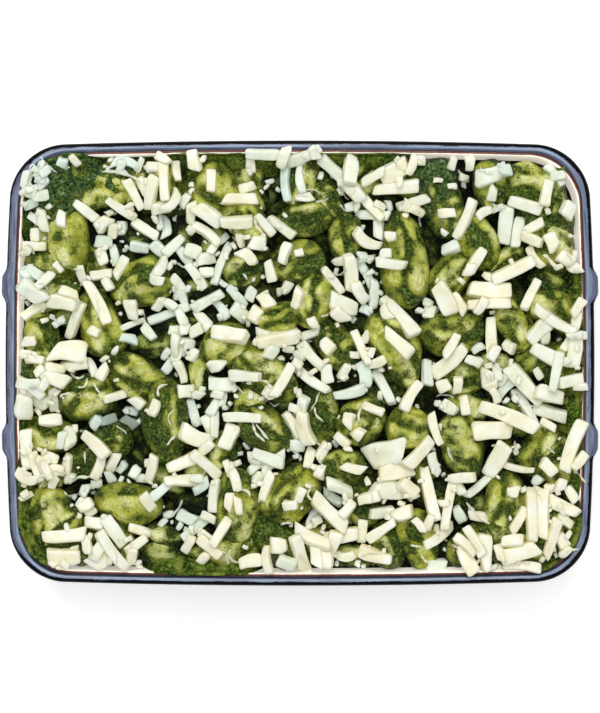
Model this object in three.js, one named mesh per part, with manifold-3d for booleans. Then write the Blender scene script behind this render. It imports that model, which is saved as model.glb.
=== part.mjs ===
// Potato gnocchi in pesto under coarsely grated cheese, in the enamelled steel tin that holds them.
// Millimetres, +Z up. The origin is the middle of the tin's underside, +X along the tin's long side.

import * as THREE from "three";
import { mergeVertices } from "three/addons/utils/BufferGeometryUtils.js";
import Module from "manifold-3d";

const wasm = await Module();
wasm.setup();

// ---- Driving dimensions -------------------------------------------------------------------------

// The tin, over its rolled rim and without the lugs.
const TIN_LENGTH = 250;
const TIN_WIDTH = 189;
const TIN_HEIGHT = 45;
const SHEET = 1.2;
const RIM_CORNER = 22.5;
const CORNER_SHRINK = 0.4; // how much a corner tightens for each millimetre in from the rim
const BOW = 0.025; // how far each side runs in towards the corners, as a share of the half size
const DRAFT = THREE.MathUtils.degToRad(7);
const FLOOR_FILLET = 7;
const BEAD_RADIUS = 2.2;
const SHOULDER_RADIUS = 0.8; // the small step where the bead turns down into the wall
const WALL_TOP_INSET = 5.4;

// The four lugs, two on the rim of each short side.
const LUG_SPACING = 66;
const LUG_LENGTH = 16;
const LUG_REACH = 2;

// The food.
const GAP = 0.3; // left all round between the food and the tin
const WALL_CLEARANCE = 0.45; // for the pieces, which are set in from a wall whose corners have facets
const CORE_TOP = 34; // the packed gnocchi and pesto that lie under the ones that show
const TOP_LAYER = 37; // middle height of the uppermost gnocchi along the walls
const LAYER_STEP = 3.5;
const DOME = 2; // how much higher the food stands in the middle of the tin
const BLUNT = 0.8; // below 1 makes the ends of a gnocco fuller than an ellipse
const GNOCCO_HEIGHT = 0.88; // of its width
const MOST_SIDES = 8; // round the uppermost gnocchi, with one fewer for each layer down
const CHEESE_HEIGHT = 0.85; // of its width
const CHEESE_SINK = 1.2; // how far a piece of cheese beds into what it lies on
const STEEPEST = Math.tan(THREE.MathUtils.degToRad(22));

// Each gnocco that shows: x, y, length, width, turn in degrees, layer counted down from the top.
const GNOCCHI = [
  [-106, 78, 25, 17, -80, 2], [-86, 84, 25, 15, 0, 2], [-83, 73, 30, 17, 5, 0],
  [-98, 52, 31, 19, -85, 0], [-119, 53, 22, 14, 85, 1], [-102, 31, 19, 14, 0, 2],
  [-68, 34, 28, 21, 15, 0], [-68, 56, 25, 17, 0, 2], [-46, 73, 23, 17, 60, 1],
  [-37, 79, 28, 21, -70, 0], [-49, 56, 22, 15, 80, 2], [-21, 79, 25, 17, -75, 1],
  [-12, 79, 21, 14, -90, 2], [10, 71, 25, 19, -70, 1], [3, 62, 24, 18, 10, 0],
  [-1, 43, 25, 19, 10, 0], [-22, 42, 24, 18, 45, 1], [-22, 60, 25, 16, -65, 0],
  [5, 27, 25, 18, 75, 0], [19, 54, 21, 14, -90, 0], [8, 85, 19, 15, 0, 2], [27, 85, 22, 16, 20, 1],
  [32, 66, 20, 14, 0, 2], [48, 79, 20, 14, -80, 1], [61, 67, 29, 17, -80, 0],
  [67, 85, 22, 14, 0, 2], [44, 44, 42, 20, -84, 0], [75, 52, 27, 18, -65, 0],
  [64, 37, 24, 18, 45, 0], [98, 76, 24, 19, -20, 0], [111, 69, 20, 15, 80, 2],
  [112, 50, 27, 18, -60, 0], [88, 43, 21, 15, 45, 1], [116, 35, 22, 16, 0, 1],
  [111, 23, 24, 17, -30, 0], [83, 70, 20, 15, 0, 2], [-85, 16, 31, 19, -70, 0],
  [-64, 9, 23, 18, 10, 2], [-111, 11, 25, 15, -75, 0], [-71, -5, 32, 19, -40, 0.5],
  [-91, -15, 26, 21, 20, 0], [-58, -25, 38, 19, -88, 0], [-44, -6, 20, 12, 85, 1],
  [-32, 8, 23, 18, 10, 0], [-16, -4, 35, 18, -35, 0], [-22, -17, 19, 16, 80, 1],
  [-15, -28, 26, 19, -35, 0], [-6, -12, 20, 16, 60, 2], [-9, 19, 20, 14, 10, 0],
  [15, 8, 25, 17, -60, 1], [8, -22, 32, 17, -88, 1], [26, -25, 23, 20, 30, 0],
  [41, 6, 35, 19, -60, 0], [46, -28, 20, 19, 0, 0], [69, -36, 32, 18, -75, 0],
  [72, -17, 20, 14, -30, 1], [68, -7, 22, 16, 0, 1], [65, 13, 30, 19, 8, 0],
  [91, 17, 28, 16, -70, 0], [97, 0, 22, 15, 60, 1], [115, -15, 20, 14, 0, 1],
  [102, -37, 25, 17, 55, 0], [87, -62, 34, 19, 80, 0], [107, -85, 24, 14, 5, 1],
  [116, -72, 22, 15, -90, 1], [50, -76, 27, 17, -75, 0], [63, -83, 21, 14, 0, 2],
  [27, -59, 25, 17, -90, 1], [18, -45, 21, 17, 30, 0], [-4, -56, 30, 22, 55, 0],
  [-27, -62, 36, 19, 82, 0], [-73, -60, 30, 18, -5, 0], [-108, -66, 28, 20, 85, 0],
  [-58, -75, 20, 15, -20, 1], [-61, -86, 24, 14, -12, 1], [-41, -86, 21, 14, 20, 1],
  [-45, -58, 20, 16, 0, 2], [-21, -84, 21, 15, 85, 1], [-7, -75, 23, 16, 20, 2],
  [-109, -31, 24, 16, -10, 0], [-80, -33, 18, 15, 0, 0], [-91, -42, 20, 18, 10, 1],
  [-72, -44, 24, 16, -85, 2], [24, -86, 21, 14, 0, 1], [-33, -38, 20, 15, 60, 1],
  [-40, 34, 24, 17, 20, 2], [36, -14, 21, 16, 0, 2],
];

// The largest pieces of cheese: x, y, length, width, turn in degrees.
const CHEESE = [
  [38, -41, 18, 9.5, 8], [89, -23, 25, 6, -22], [38, -55, 19, 7, 2], [117, -35, 23, 5.5, 70],
  [95, -9, 21, 6, -48], [80, 31, 18, 7, -5], [-99, 5, 14, 8.5, -3], [-10, 10, 18, 6.5, 12],
  [42, 20, 21, 5.5, -50], [55, -56, 23, 5, -78], [63, 0, 19, 6, 40], [13, -64, 20, 5.5, -45],
  [92, -80, 16, 6.5, 18], [111, -59, 20, 5, -25], [91, 39, 20, 5, 25], [-100, -73, 18, 5.5, 5],
  [-44, -31, 14, 7, -20], [61, 27, 14, 7, -65], [40, 83, 13, 7.5, 30], [105, 3, 16, 6, -30],
  [118, 6, 16, 6, 85], [107, -74, 17, 5.5, 72], [-101, -84, 14, 6.5, 0], [-86, 25, 20, 4.5, -62],
  [-80, -79, 20, 4.5, -55], [-30, 12, 15, 6, -8], [18, -73, 15, 6, 12], [79, -81, 16, 5.5, -88],
  [98, -64, 22, 4, -90], [0, -81, 16, 5.5, -75], [-117, -36, 17, 5, -88], [-114, 30, 12, 7, -35],
  [18, 25, 12, 7, -20], [21, 39, 15, 5.5, -85], [41, 8, 15, 5.5, -42], [108, 18, 20, 4, -32],
  [-38, 63, 13, 6, -35], [22, 74, 13, 6, -50], [2, -28, 14, 5.5, -75], [83, -42, 14, 5.5, 62],
  [82, 11, 17, 4.5, -88], [-56, 21, 19, 4, 22], [106, -21, 15, 5, -18], [87, 59, 15, 5, 88],
  [-58, 78, 18, 4, -88], [-100, 25, 12, 6, -15], [4, -7, 18, 4, -37], [70, 61, 18, 4, 66],
  [-27, 59, 14, 5, 2], [-86, -34, 14, 5, -42], [-13, -38, 14, 5, -15], [32, -81, 14, 5, -15],
  [-40, -43, 15, 4.5, -42], [-44, -70, 15, 4.5, 42], [52, -39, 15, 4.5, 48],
  [-33, 42, 19, 3.5, 68], [-104, -7, 12, 5.5, -15], [-30, -31, 11, 6, 65], [-34, -9, 11, 6, -5],
  [27, -5, 12, 5.5, -80], [-50, -42, 13, 5, 22], [-7, -8, 16, 4, 60], [-25, 70, 14, 4.5, 0],
  [1, 90, 14, 4.5, 18], [14, 84, 14, 4.5, -42], [5, 3, 14, 4.5, -48], [47, -14, 14, 4.5, 62],
  [-39, 26, 15, 4, 28], [59, -73, 15, 4, 35], [11, -81, 12, 5, -85], [-6, 77, 17, 3.5, -88],
  [-24, -6, 13, 4.5, -5], [-71, 71, 14, 4, -62], [-16, 90, 14, 4, -3],
];

// ---- Plan of the tin ----------------------------------------------------------------------------

const HALF_LENGTH = TIN_LENGTH / 2;
const HALF_WIDTH = TIN_WIDTH / 2;

function cornerRadius(inset) {
  return RIM_CORNER - CORNER_SHRINK * inset;
}

// Stations for a quarter of the way round, from the middle of a short side to that of a long side.
// Each is { side, at }, with at running 0 to 1 along that side or round the corner.
function quarterStations() {
  const half = HALF_WIDTH - RIM_CORNER;
  const lug = LUG_SPACING / 2;
  const lugMarks = [-0.5, -0.32, -0.16, 0.16, 0.32, 0.5].map((share) => (lug + share * LUG_LENGTH) / half);
  const short = [0, 0.16, ...lugMarks, 0.8];
  const corner = [0, 1, 2, 3, 4, 5, 6].map((step) => step / 6);
  const long = [0.75, 0.5, 0.25];
  return [
    ...short.map((at) => ({ side: "short", at })),
    ...corner.map((at) => ({ side: "corner", at })),
    ...long.map((at) => ({ side: "long", at })),
  ];
}

const QUARTER = quarterStations();

// A point of the quarter outline that lies this far in from the rim's outer edge, before the bow.
function quarterPoint({ side, at }, inset) {
  const radius = cornerRadius(inset);
  const x = HALF_LENGTH - inset - radius;
  const y = HALF_WIDTH - inset - radius;
  if (side === "short") return [x + radius, y * at];
  if (side === "long") return [x * at, y + radius];
  const angle = (at * Math.PI) / 2;
  return [x + radius * Math.cos(angle), y + radius * Math.sin(angle)];
}

// The whole outline at that inset, counter-clockwise from the middle of the +X side.
function outline(inset) {
  const first = QUARTER.map((station) => quarterPoint(station, inset));
  const middle = [0, HALF_WIDTH - inset];
  const mirrored = first.slice(1).reverse().map(([x, y]) => [-x, y]);
  const upper = [...first, middle, ...mirrored];
  const end = [-(HALF_LENGTH - inset), 0];
  const lower = upper.slice(1).reverse().map(([x, y]) => [x, -y]);
  return [...upper, end, ...lower].map(([x, y]) => [
    x * (1 - BOW * (y / HALF_WIDTH) ** 2),
    y * (1 - BOW * (x / HALF_LENGTH) ** 2),
  ]);
}

// How far a point lies inside the outline at that inset, and the way inward from there.
function clearance(x, y, inset) {
  const radius = cornerRadius(inset);
  const straightX = Math.abs(x) / (1 - BOW * (y / HALF_WIDTH) ** 2);
  const straightY = Math.abs(y) / (1 - BOW * (x / HALF_LENGTH) ** 2);
  const overX = straightX - (HALF_LENGTH - inset - radius);
  const overY = straightY - (HALF_WIDTH - inset - radius);
  const outward = new THREE.Vector2(Math.max(overX, 0), Math.max(overY, 0));
  if (overX <= 0 && overY <= 0) outward.set(overX > overY ? 1 : 0, overX > overY ? 0 : 1);
  const reach = overX > 0 || overY > 0 ? outward.length() : Math.max(overX, overY);
  outward.normalize();
  const inward = new THREE.Vector2(-Math.sign(x) * outward.x, -Math.sign(y) * outward.y);
  return { depth: radius - reach, inward };
}

// ---- Section through the wall -------------------------------------------------------------------

// Points round an arc of the section. Angle 0 points in towards the food and 90 degrees points up.
function arc(inset, z, radius, fromDegrees, toDegrees, steps) {
  return Array.from({ length: steps + 1 }, (_, step) => {
    const angle = THREE.MathUtils.degToRad(fromDegrees + ((toDegrees - fromDegrees) * step) / steps);
    return { inset: inset + radius * Math.cos(angle), z: z + radius * Math.sin(angle) };
  });
}

// The inner face of the wall at height z, or a face parallel to it, offset in towards the food.
function wallInset(z, offset = 0) {
  const wallTop = TIN_HEIGHT - BEAD_RADIUS;
  return WALL_TOP_INSET + (wallTop - Math.min(z, wallTop)) * Math.tan(DRAFT) + offset / Math.cos(DRAFT);
}

// The rounded foot of the wall, from the floor up to where the wall runs straight.
function filletArc(offset) {
  const draftDegrees = THREE.MathUtils.radToDeg(DRAFT);
  const middle = SHEET + FLOOR_FILLET;
  const meet = middle - FLOOR_FILLET * Math.sin(DRAFT);
  const inset = wallInset(meet) + FLOOR_FILLET * Math.cos(DRAFT);
  return arc(inset, middle, FLOOR_FILLET - offset, 270, 180 + draftDegrees, 3);
}

// Sweeps a section round the tin's plan and closes it on the axis at both ends. A lathe gives the
// faces, and its vertices are then moved from their circles onto the outlines.
function sweep(section, push = () => 0) {
  const circle = section.map(({ inset, z }) => new THREE.Vector2(inset === null ? 0 : 1, z));
  const stations = outline(0).length;
  const geometry = new THREE.LatheGeometry(circle, stations);
  const rings = section.map(({ inset }) => (inset === null ? null : outline(inset)));
  const position = geometry.attributes.position;
  for (let station = 0; station <= stations; station++) {
    for (let step = 0; step < section.length; step++) {
      const ring = rings[step];
      const [x, y] = ring ? ring[station % stations] : [0, 0];
      const out = ring ? push(x, y, section[step]) : 0;
      position.setXYZ(station * section.length + step, x + out, y, section[step].z);
    }
  }
  return closed(geometry);
}

// ---- Solids -------------------------------------------------------------------------------------

// Keeps only the positions and joins the vertices that coincide.
function closed(geometry) {
  geometry.deleteAttribute("normal");
  geometry.deleteAttribute("uv");
  return mergeVertices(geometry);
}

function toSolid(geometry) {
  const mesh = new wasm.Mesh({
    numProp: 3,
    vertProperties: Float32Array.from(geometry.attributes.position.array),
    triVerts: Uint32Array.from(geometry.index.array),
  });
  return new wasm.Manifold(mesh);
}

function toGeometry(solid) {
  const { vertProperties, triVerts } = solid.getMesh();
  const geometry = new THREE.BufferGeometry();
  geometry.setAttribute("position", new THREE.BufferAttribute(vertProperties, 3));
  geometry.setIndex(new THREE.BufferAttribute(triVerts, 1));
  return geometry;
}

// The tin: a pressed steel sheet with a round-cornered floor, a sloping wall, a small shoulder and a
// rim rolled outward into a solid bead.
function tin() {
  const wallTop = TIN_HEIGHT - BEAD_RADIUS;
  const underBead = TIN_HEIGHT - 2 * BEAD_RADIUS;
  const section = [
    { inset: null, z: 0 },
    ...filletArc(-SHEET),
    { inset: wallInset(underBead, -SHEET), z: underBead },
    ...arc(BEAD_RADIUS, wallTop, BEAD_RADIUS, -60, -330, 9),
    ...arc(WALL_TOP_INSET - SHOULDER_RADIUS, wallTop, SHOULDER_RADIUS, 90, 0, 2),
    ...filletArc(0).reverse(),
    { inset: null, z: SHEET },
  ];
  const lug = (x, y, { inset, z }) => {
    const along = Math.abs(Math.abs(y) - LUG_SPACING / 2) / (LUG_LENGTH / 2);
    const across = THREE.MathUtils.clamp(1 - inset / (2 * BEAD_RADIUS), 0, 1);
    const onRim = z > underBead - 0.1 && Math.abs(x) > HALF_LENGTH - 3 * BEAD_RADIUS;
    return onRim ? Math.sign(x) * LUG_REACH * across * THREE.MathUtils.smoothstep(1 - along, 0, 0.6) : 0;
  };
  return sweep(section, lug);
}

// ---- Food ---------------------------------------------------------------------------------------

// What lies under the gnocchi that show, filling the tin to a level.
function core() {
  return sweep([
    { inset: null, z: SHEET + GAP },
    ...filletArc(GAP),
    { inset: wallInset(CORE_TOP, GAP), z: CORE_TOP },
    { inset: null, z: CORE_TOP },
  ]);
}

function dome(x, y) {
  return DOME * (1 - (x / HALF_LENGTH) ** 2) * (1 - (y / HALF_WIDTH) ** 2);
}

// Moves a placed piece in from the wall until all of it is clear of the tin.
function keepClear(geometry) {
  const position = geometry.attributes.position;
  const moved = new THREE.Vector2();
  for (let round = 0; round < 8; round++) {
    let worst = { short: 0, inward: null };
    for (let index = 0; index < position.count; index++) {
      const inset = wallInset(position.getZ(index));
      const { depth, inward } = clearance(position.getX(index), position.getY(index), inset);
      const short = WALL_CLEARANCE - depth;
      if (short > worst.short) worst = { short, inward };
    }
    if (!worst.inward) break;
    const step = worst.inward.multiplyScalar(worst.short + 0.05);
    geometry.translate(step.x, step.y, 0);
    moved.add(step);
  }
  return moved;
}

// A gnocco lying along X round the origin: a plump pillow with full ends.
function gnoccoGeometry(length, width, sides) {
  const geometry = closed(new THREE.SphereGeometry(1, sides, Math.ceil(sides / 2) + 1));
  geometry.rotateZ(Math.PI / 2);
  const position = geometry.attributes.position;
  for (let index = 0; index < position.count; index++) {
    const along = position.getX(index);
    position.setX(index, Math.sign(along) * Math.abs(along) ** BLUNT);
  }
  return geometry.scale(length / 2, width / 2, (GNOCCO_HEIGHT * width) / 2);
}

// Places every gnocco that shows. The result keeps each one's numbers for the cheese to rest on.
function placeGnocchi() {
  return GNOCCHI.map(([x, y, length, width, turn, layer]) => {
    const geometry = gnoccoGeometry(length, width, MOST_SIDES - Math.round(layer));
    const angle = THREE.MathUtils.degToRad(turn);
    const z = TOP_LAYER - layer * LAYER_STEP + dome(x, y);
    geometry.rotateZ(angle).translate(x, y, z);
    const moved = keepClear(geometry);
    return { geometry, x: x + moved.x, y: y + moved.y, z, angle, length, width };
  });
}

// Height of the food's surface at a point, before any cheese lies on it.
function surfaceHeight(x, y, gnocchi) {
  const heights = gnocchi.map((gnocco) => {
    const dx = x - gnocco.x;
    const dy = y - gnocco.y;
    const along = dx * Math.cos(gnocco.angle) + dy * Math.sin(gnocco.angle);
    const across = dy * Math.cos(gnocco.angle) - dx * Math.sin(gnocco.angle);
    const share = Math.abs((2 * along) / gnocco.length) ** (2 / BLUNT) + ((2 * across) / gnocco.width) ** 2;
    return share < 1 ? gnocco.z + (GNOCCO_HEIGHT * gnocco.width * Math.sqrt(1 - share)) / 2 : CORE_TOP;
  });
  return Math.max(CORE_TOP, ...heights);
}

// The line on which a straight piece comes to rest over the heights below it: of all the pairs of
// supports on either side of its middle, the pair that holds the middle highest.
function restingLine(offsets, heights) {
  let best = { height: -Infinity, slope: 0 };
  for (let left = 0; left < offsets.length; left++) {
    for (let right = left + 1; right < offsets.length; right++) {
      if (offsets[left] > 0 || offsets[right] < 0) continue;
      const slope = (heights[right] - heights[left]) / (offsets[right] - offsets[left]);
      const height = heights[left] - slope * offsets[left];
      if (height > best.height) best = { height, slope };
    }
  }
  return best;
}

// A piece of cheese lying across the gnocchi, tilted as it rests and bedded in a little.
function cheesePiece([x, y, length, width, turn], gnocchi) {
  const angle = THREE.MathUtils.degToRad(turn);
  const offsets = [-0.5, -0.38, -0.25, -0.12, 0, 0.12, 0.25, 0.38, 0.5].map((share) => share * length);
  const heights = offsets.map((s) => surfaceHeight(x + s * Math.cos(angle), y + s * Math.sin(angle), gnocchi));
  const { height, slope } = restingLine(offsets, heights);
  const tilt = THREE.MathUtils.clamp(slope, -STEEPEST, STEEPEST);
  const thickness = CHEESE_HEIGHT * width;
  const geometry = closed(new THREE.BoxGeometry(length * Math.hypot(1, tilt), width, thickness));
  geometry.rotateY(-Math.atan(tilt)).rotateZ(angle).translate(x, y, height + thickness / 2 - CHEESE_SINK);
  keepClear(geometry);
  return geometry;
}

// The whole heap as one solid. Shells that the pieces close off inside it are filled, and a piece
// that ends up touching nothing is left out.
function heap() {
  const gnocchi = placeGnocchi();
  const pieces = [
    core(),
    ...gnocchi.map(({ geometry }) => geometry),
    ...CHEESE.map((piece) => cheesePiece(piece, gnocchi)),
  ];
  const shells = wasm.Manifold.union(pieces.map(toSolid)).decompose();
  const outer = shells.reduce((largest, shell) => (shell.volume() > largest.volume() ? shell : largest));
  return toGeometry(outer);
}

// ---- The object ---------------------------------------------------------------------------------

function part(name, geometry, colour, roughness) {
  const material = new THREE.MeshStandardMaterial({ color: colour, roughness, metalness: 0 });
  const mesh = new THREE.Mesh(geometry, material);
  mesh.name = name;
  return mesh;
}

const group = new THREE.Group();
group.add(part("baking_tin", tin(), "#3d435a", 0.25));
group.add(part("gnocchi_heap", heap(), "#8b9a48", 0.45));

export default group;
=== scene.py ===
# Potato gnocchi in pesto under coarsely grated cheese, in an enamelled steel roasting tin.
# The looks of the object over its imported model. Sizes are in millimetres until a mesh is made.

import math

import bmesh
import bpy
import numpy as np
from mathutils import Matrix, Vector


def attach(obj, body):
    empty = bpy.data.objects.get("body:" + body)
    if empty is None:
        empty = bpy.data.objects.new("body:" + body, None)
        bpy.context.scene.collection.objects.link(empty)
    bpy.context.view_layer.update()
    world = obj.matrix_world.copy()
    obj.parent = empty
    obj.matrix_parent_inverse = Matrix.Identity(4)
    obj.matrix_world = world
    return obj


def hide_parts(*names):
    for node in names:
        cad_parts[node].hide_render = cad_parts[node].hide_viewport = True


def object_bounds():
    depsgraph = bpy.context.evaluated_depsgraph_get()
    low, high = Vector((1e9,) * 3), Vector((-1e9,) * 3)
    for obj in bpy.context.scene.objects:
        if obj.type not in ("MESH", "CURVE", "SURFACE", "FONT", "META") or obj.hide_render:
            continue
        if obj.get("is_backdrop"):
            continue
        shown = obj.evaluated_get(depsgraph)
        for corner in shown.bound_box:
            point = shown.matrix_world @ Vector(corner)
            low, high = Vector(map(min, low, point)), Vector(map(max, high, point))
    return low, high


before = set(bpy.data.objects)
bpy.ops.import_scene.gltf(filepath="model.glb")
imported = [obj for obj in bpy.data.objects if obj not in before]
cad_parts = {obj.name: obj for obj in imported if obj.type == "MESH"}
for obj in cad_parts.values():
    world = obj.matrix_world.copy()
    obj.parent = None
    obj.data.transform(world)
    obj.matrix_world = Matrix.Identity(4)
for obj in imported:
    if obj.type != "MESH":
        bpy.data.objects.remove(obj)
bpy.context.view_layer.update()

# ---- The roasting tin ---------------------------------------------------------------------------
# One pressed steel sheet with sloping walls and a rim rolled outward into a bead. It is dipped in
# slate-navy vitreous enamel, and the inside is sprayed cream over a red-brown ground coat, which
# shows as a thin line where the two colours meet. Two lugs widen the bead on each short side.

MM = 0.001

TIN_LENGTH = 250
TIN_WIDTH = 189
TIN_HEIGHT = 45
SHEET = 1.2
RIM_CORNER = 22.5
CORNER_SHRINK = 0.4
TIGHTEST_CORNER = 3
BOW = 0.025
DRAFT = math.radians(7)
FLOOR_FILLET = 7
BEAD_RADIUS = 2.1
SHOULDER_RADIUS = 0.9
WALL_TOP_INSET = 5.4
LUG_SPACING = 66
LUG_LENGTH = 16
LUG_REACH = 2
HALF_LENGTH = TIN_LENGTH / 2
HALF_WIDTH = TIN_WIDTH / 2
BEAD_MIDDLE = TIN_HEIGHT - BEAD_RADIUS
LIP_MIDDLE = BEAD_MIDDLE + 0.1
LIP_INSET = WALL_TOP_INSET - SHOULDER_RADIUS
BEAD_STEPS = 26

# How far in from the edge the groove behind the bead is, and how high.
GROOVE = (4.02, 43.72)


def bowed(x, y):
    """The tin's plan: its sides run in a little towards the corners."""
    return x * (1 - BOW * (y / HALF_WIDTH) ** 2), y * (1 - BOW * (x / HALF_LENGTH) ** 2)


def outline(inset, fineness=44):
    """Points round the tin this far in from the rim's outer edge, from the middle of the +X side."""
    radius = max(RIM_CORNER - CORNER_SHRINK * inset, TIGHTEST_CORNER)
    straight_x = HALF_LENGTH - inset - radius
    straight_y = max(HALF_WIDTH - inset - radius, 0)
    run = np.arange(fineness) / fineness
    turn = run * math.pi / 2
    level = np.ones(fineness)
    quarter_x = [(straight_x + radius) * level, straight_x + radius * np.cos(turn), straight_x * (1 - run)]
    quarter_y = [straight_y * run, straight_y + radius * np.sin(turn), (straight_y + radius) * level]
    first = np.column_stack([np.concatenate(quarter_x), np.concatenate(quarter_y)])
    second = np.column_stack([-first[1:, 0], first[1:, 1]])[::-1]
    upper = np.vstack([first, [[0, straight_y + radius]], second, [[-(HALF_LENGTH - inset), 0]]])
    lower = np.column_stack([upper[1:-1, 0], -upper[1:-1, 1]])[::-1]
    x, y = np.vstack([upper, lower]).T
    return np.column_stack(bowed(x, y))


def arc(inset, z, radius, start, end, steps):
    """Points of the wall's section round an arc; 0 degrees points in to the food and 90 points up."""
    angles = np.radians(np.linspace(start, end, steps + 1))
    return [(inset + radius * math.cos(a), z + radius * math.sin(a)) for a in angles]


def wall_inset(z, offset=0.0):
    """How far in from the rim's edge the wall's inner face is at height z, moved in by an offset."""
    drop = BEAD_MIDDLE - np.minimum(z, BEAD_MIDDLE)
    return WALL_TOP_INSET + drop * math.tan(DRAFT) + offset / math.cos(DRAFT)


def fillet_arc(offset, steps=8):
    """The rounded foot of the wall, from the floor up to where the wall runs straight."""
    middle = SHEET + FLOOR_FILLET
    meet = middle - FLOOR_FILLET * math.sin(DRAFT)
    inset = wall_inset(meet) + FLOOR_FILLET * math.cos(DRAFT)
    return arc(inset, middle, FLOOR_FILLET - offset, 270, 180 + math.degrees(DRAFT), steps)


def skin(rings, ends):
    """Points and faces of a closed solid from rings of points, with a point to close each end."""
    count = len(rings[0])
    points = np.vstack(rings + [[[0, 0, ends[0]], [0, 0, ends[1]]]])
    around = np.arange(count)
    after = (around + 1) % count
    faces = []
    for ring in range(len(rings) - 1):
        low, high = ring * count, (ring + 1) * count
        faces += np.column_stack([low + around, low + after, high + after, high + around]).tolist()
    first, last = len(points) - 2, len(points) - 1
    top = (len(rings) - 1) * count
    faces += np.column_stack([np.full(count, first), after, around]).tolist()
    faces += np.column_stack([top + around, top + after, np.full(count, last)]).tolist()
    return points, faces


def level_ring(inset, z, fineness=44):
    plan = outline(inset, fineness)
    return np.column_stack([plan, np.full(len(plan), z)])


def make_piece(name, points, faces, values=None):
    """A smooth mesh object in metres with named numbers on its points, riding on the one body."""
    mesh = bpy.data.meshes.new(name)
    mesh.from_pydata((np.asarray(points) * MM).tolist(), [], faces)
    for key, numbers in (values or {}).items():
        layer = mesh.attributes.new(key, "FLOAT", "POINT")
        layer.data.foreach_set("value", np.asarray(numbers, dtype=np.float32))
    mesh.polygons.foreach_set("use_smooth", [True] * len(mesh.polygons))
    mesh.update()
    piece = bpy.data.objects.new(name, mesh)
    bpy.context.scene.collection.objects.link(piece)
    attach(piece, "root")
    return piece


under_bead = TIN_HEIGHT - 2 * BEAD_RADIUS
outside = fillet_arc(-SHEET) + [(wall_inset(z, -SHEET), z) for z in (16, 24, 32, under_bead)]
outside += arc(BEAD_RADIUS, BEAD_MIDDLE, BEAD_RADIUS, -60, -270, BEAD_STEPS)
over_bead = arc(BEAD_RADIUS, BEAD_MIDDLE, BEAD_RADIUS, 82, 34, 8) + [GROOVE]
shoulder = arc(LIP_INSET, LIP_MIDDLE, SHOULDER_RADIUS, 115, 62, 6)
lip = arc(LIP_INSET, LIP_MIDDLE, SHOULDER_RADIUS, 48, 0, 4)
inner_wall = [(wall_inset(z), z) for z in (42, 40.5, 39, 36, 30, 22, 14)] + fillet_arc(0)[::-1]
tin_section = outside + over_bead + shoulder + lip + inner_wall
tin_points, tin_faces = skin([level_ring(inset, z) for inset, z in tin_section], (0, SHEET))

# The lugs push the bead's outer half out, most at its edge.
LUG_RAMP = 0.6
around_tin = len(outline(0))
ring_inset = np.repeat([inset for inset, z in tin_section], around_tin)
rim_part = tin_points[:-2]
on_rim = (rim_part[:, 2] > under_bead - 0.1) & (np.abs(rim_part[:, 0]) > HALF_LENGTH - 3 * BEAD_RADIUS)
along_lug = np.abs(np.abs(rim_part[:, 1]) - LUG_SPACING / 2) / (LUG_LENGTH / 2)
rise = np.clip((1 - along_lug) / LUG_RAMP, 0, 1)
rise = rise * rise * (3 - 2 * rise) * on_rim
reach = LUG_REACH * rise * np.clip(1 - ring_inset / (2 * BEAD_RADIUS), 0, 1)
rim_part[:, 0] += np.sign(rim_part[:, 0]) * reach

# Numbers for the enamel: how far a point is past the line where the cream liner starts, measured
# along the section, and how far it lies out on the bead's outer flank, which is painted near-black
# as shade. The painted shade is narrower on the far left, and on a lug it stays below the bead's edge.
DARK_FLANK = 1.7
FAR_LEFT_CUT = 0.8
LUG_CUT = 3
FIRST_ON_BEAD = len(outside) - 16
FIRST_OVER_EDGE = len(outside) - 12
section_run = np.array(tin_section)
distance = np.concatenate([[0], np.cumsum(np.hypot(*np.diff(section_run, axis=0).T))])
meeting = len(outside + over_bead + shoulder) - 1
liner = np.repeat(distance - distance[meeting], around_tin)
step = np.repeat(np.arange(len(tin_section)), around_tin)
far_left = np.clip((-rim_part[:, 0] - HALF_LENGTH + 13) / 10, 0, 1)
over_edge = np.clip((step - FIRST_OVER_EDGE) / 4, 0, 1)
flank = DARK_FLANK - FAR_LEFT_CUT * far_left - ring_inset - LUG_CUT * rise * over_edge
flank = np.where(step < len(outside), flank, -9)
flank = np.where(step < FIRST_ON_BEAD, 9, flank)

# The rim's length is wound onto a circle, in centimetres, for streaks that run along the rim:
# painted reflections in the slate, tone in the red-brown coat and a faint relief.
rim_line = outline(0)
lengths = np.hypot(*(np.roll(rim_line, -1, axis=0) - rim_line).T)
rim_angle = 2 * math.pi * np.concatenate([[0], np.cumsum(lengths)[:-1]]) / lengths.sum()
rim_circle = lengths.sum() / (2 * math.pi) / 10
round_x = np.tile(rim_circle * np.cos(rim_angle), len(tin_section))
round_y = np.tile(rim_circle * np.sin(rim_angle), len(tin_section))
roasting_tin = make_piece(
    "roasting_tin",
    tin_points,
    tin_faces,
    {
        "liner": [*liner, -99, 99],
        "flank": [*flank, 9, -9],
        "round_x": [*round_x, 0, 0],
        "round_y": [*round_y, 0, 0],
    },
)
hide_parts("baking_tin")


def adder(tree):
    """A helper that adds a shader node with its inputs, linked or set, and its settings."""
    def add(kind, inputs=None, **settings):
        node = tree.nodes.new("ShaderNode" + kind)
        for key, value in settings.items():
            setattr(node, key, value)
        for key, value in (inputs or {}).items():
            if isinstance(value, bpy.types.NodeSocket):
                tree.links.new(value, node.inputs[key])
            else:
                node.inputs[key].default_value = value
        return node

    return add


def new_material(name):
    """A new material, its shader and its node adder."""
    material = bpy.data.materials.new(name)
    material.use_nodes = True
    shader = material.node_tree.nodes["Principled BSDF"]
    return material, shader, adder(material.node_tree)


def feed(shader, **sockets):
    """Links sockets to a shader's inputs, named with underscores for spaces."""
    for key, socket in sockets.items():
        shader.id_data.links.new(socket, shader.inputs[key.replace("_", " ")])


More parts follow.
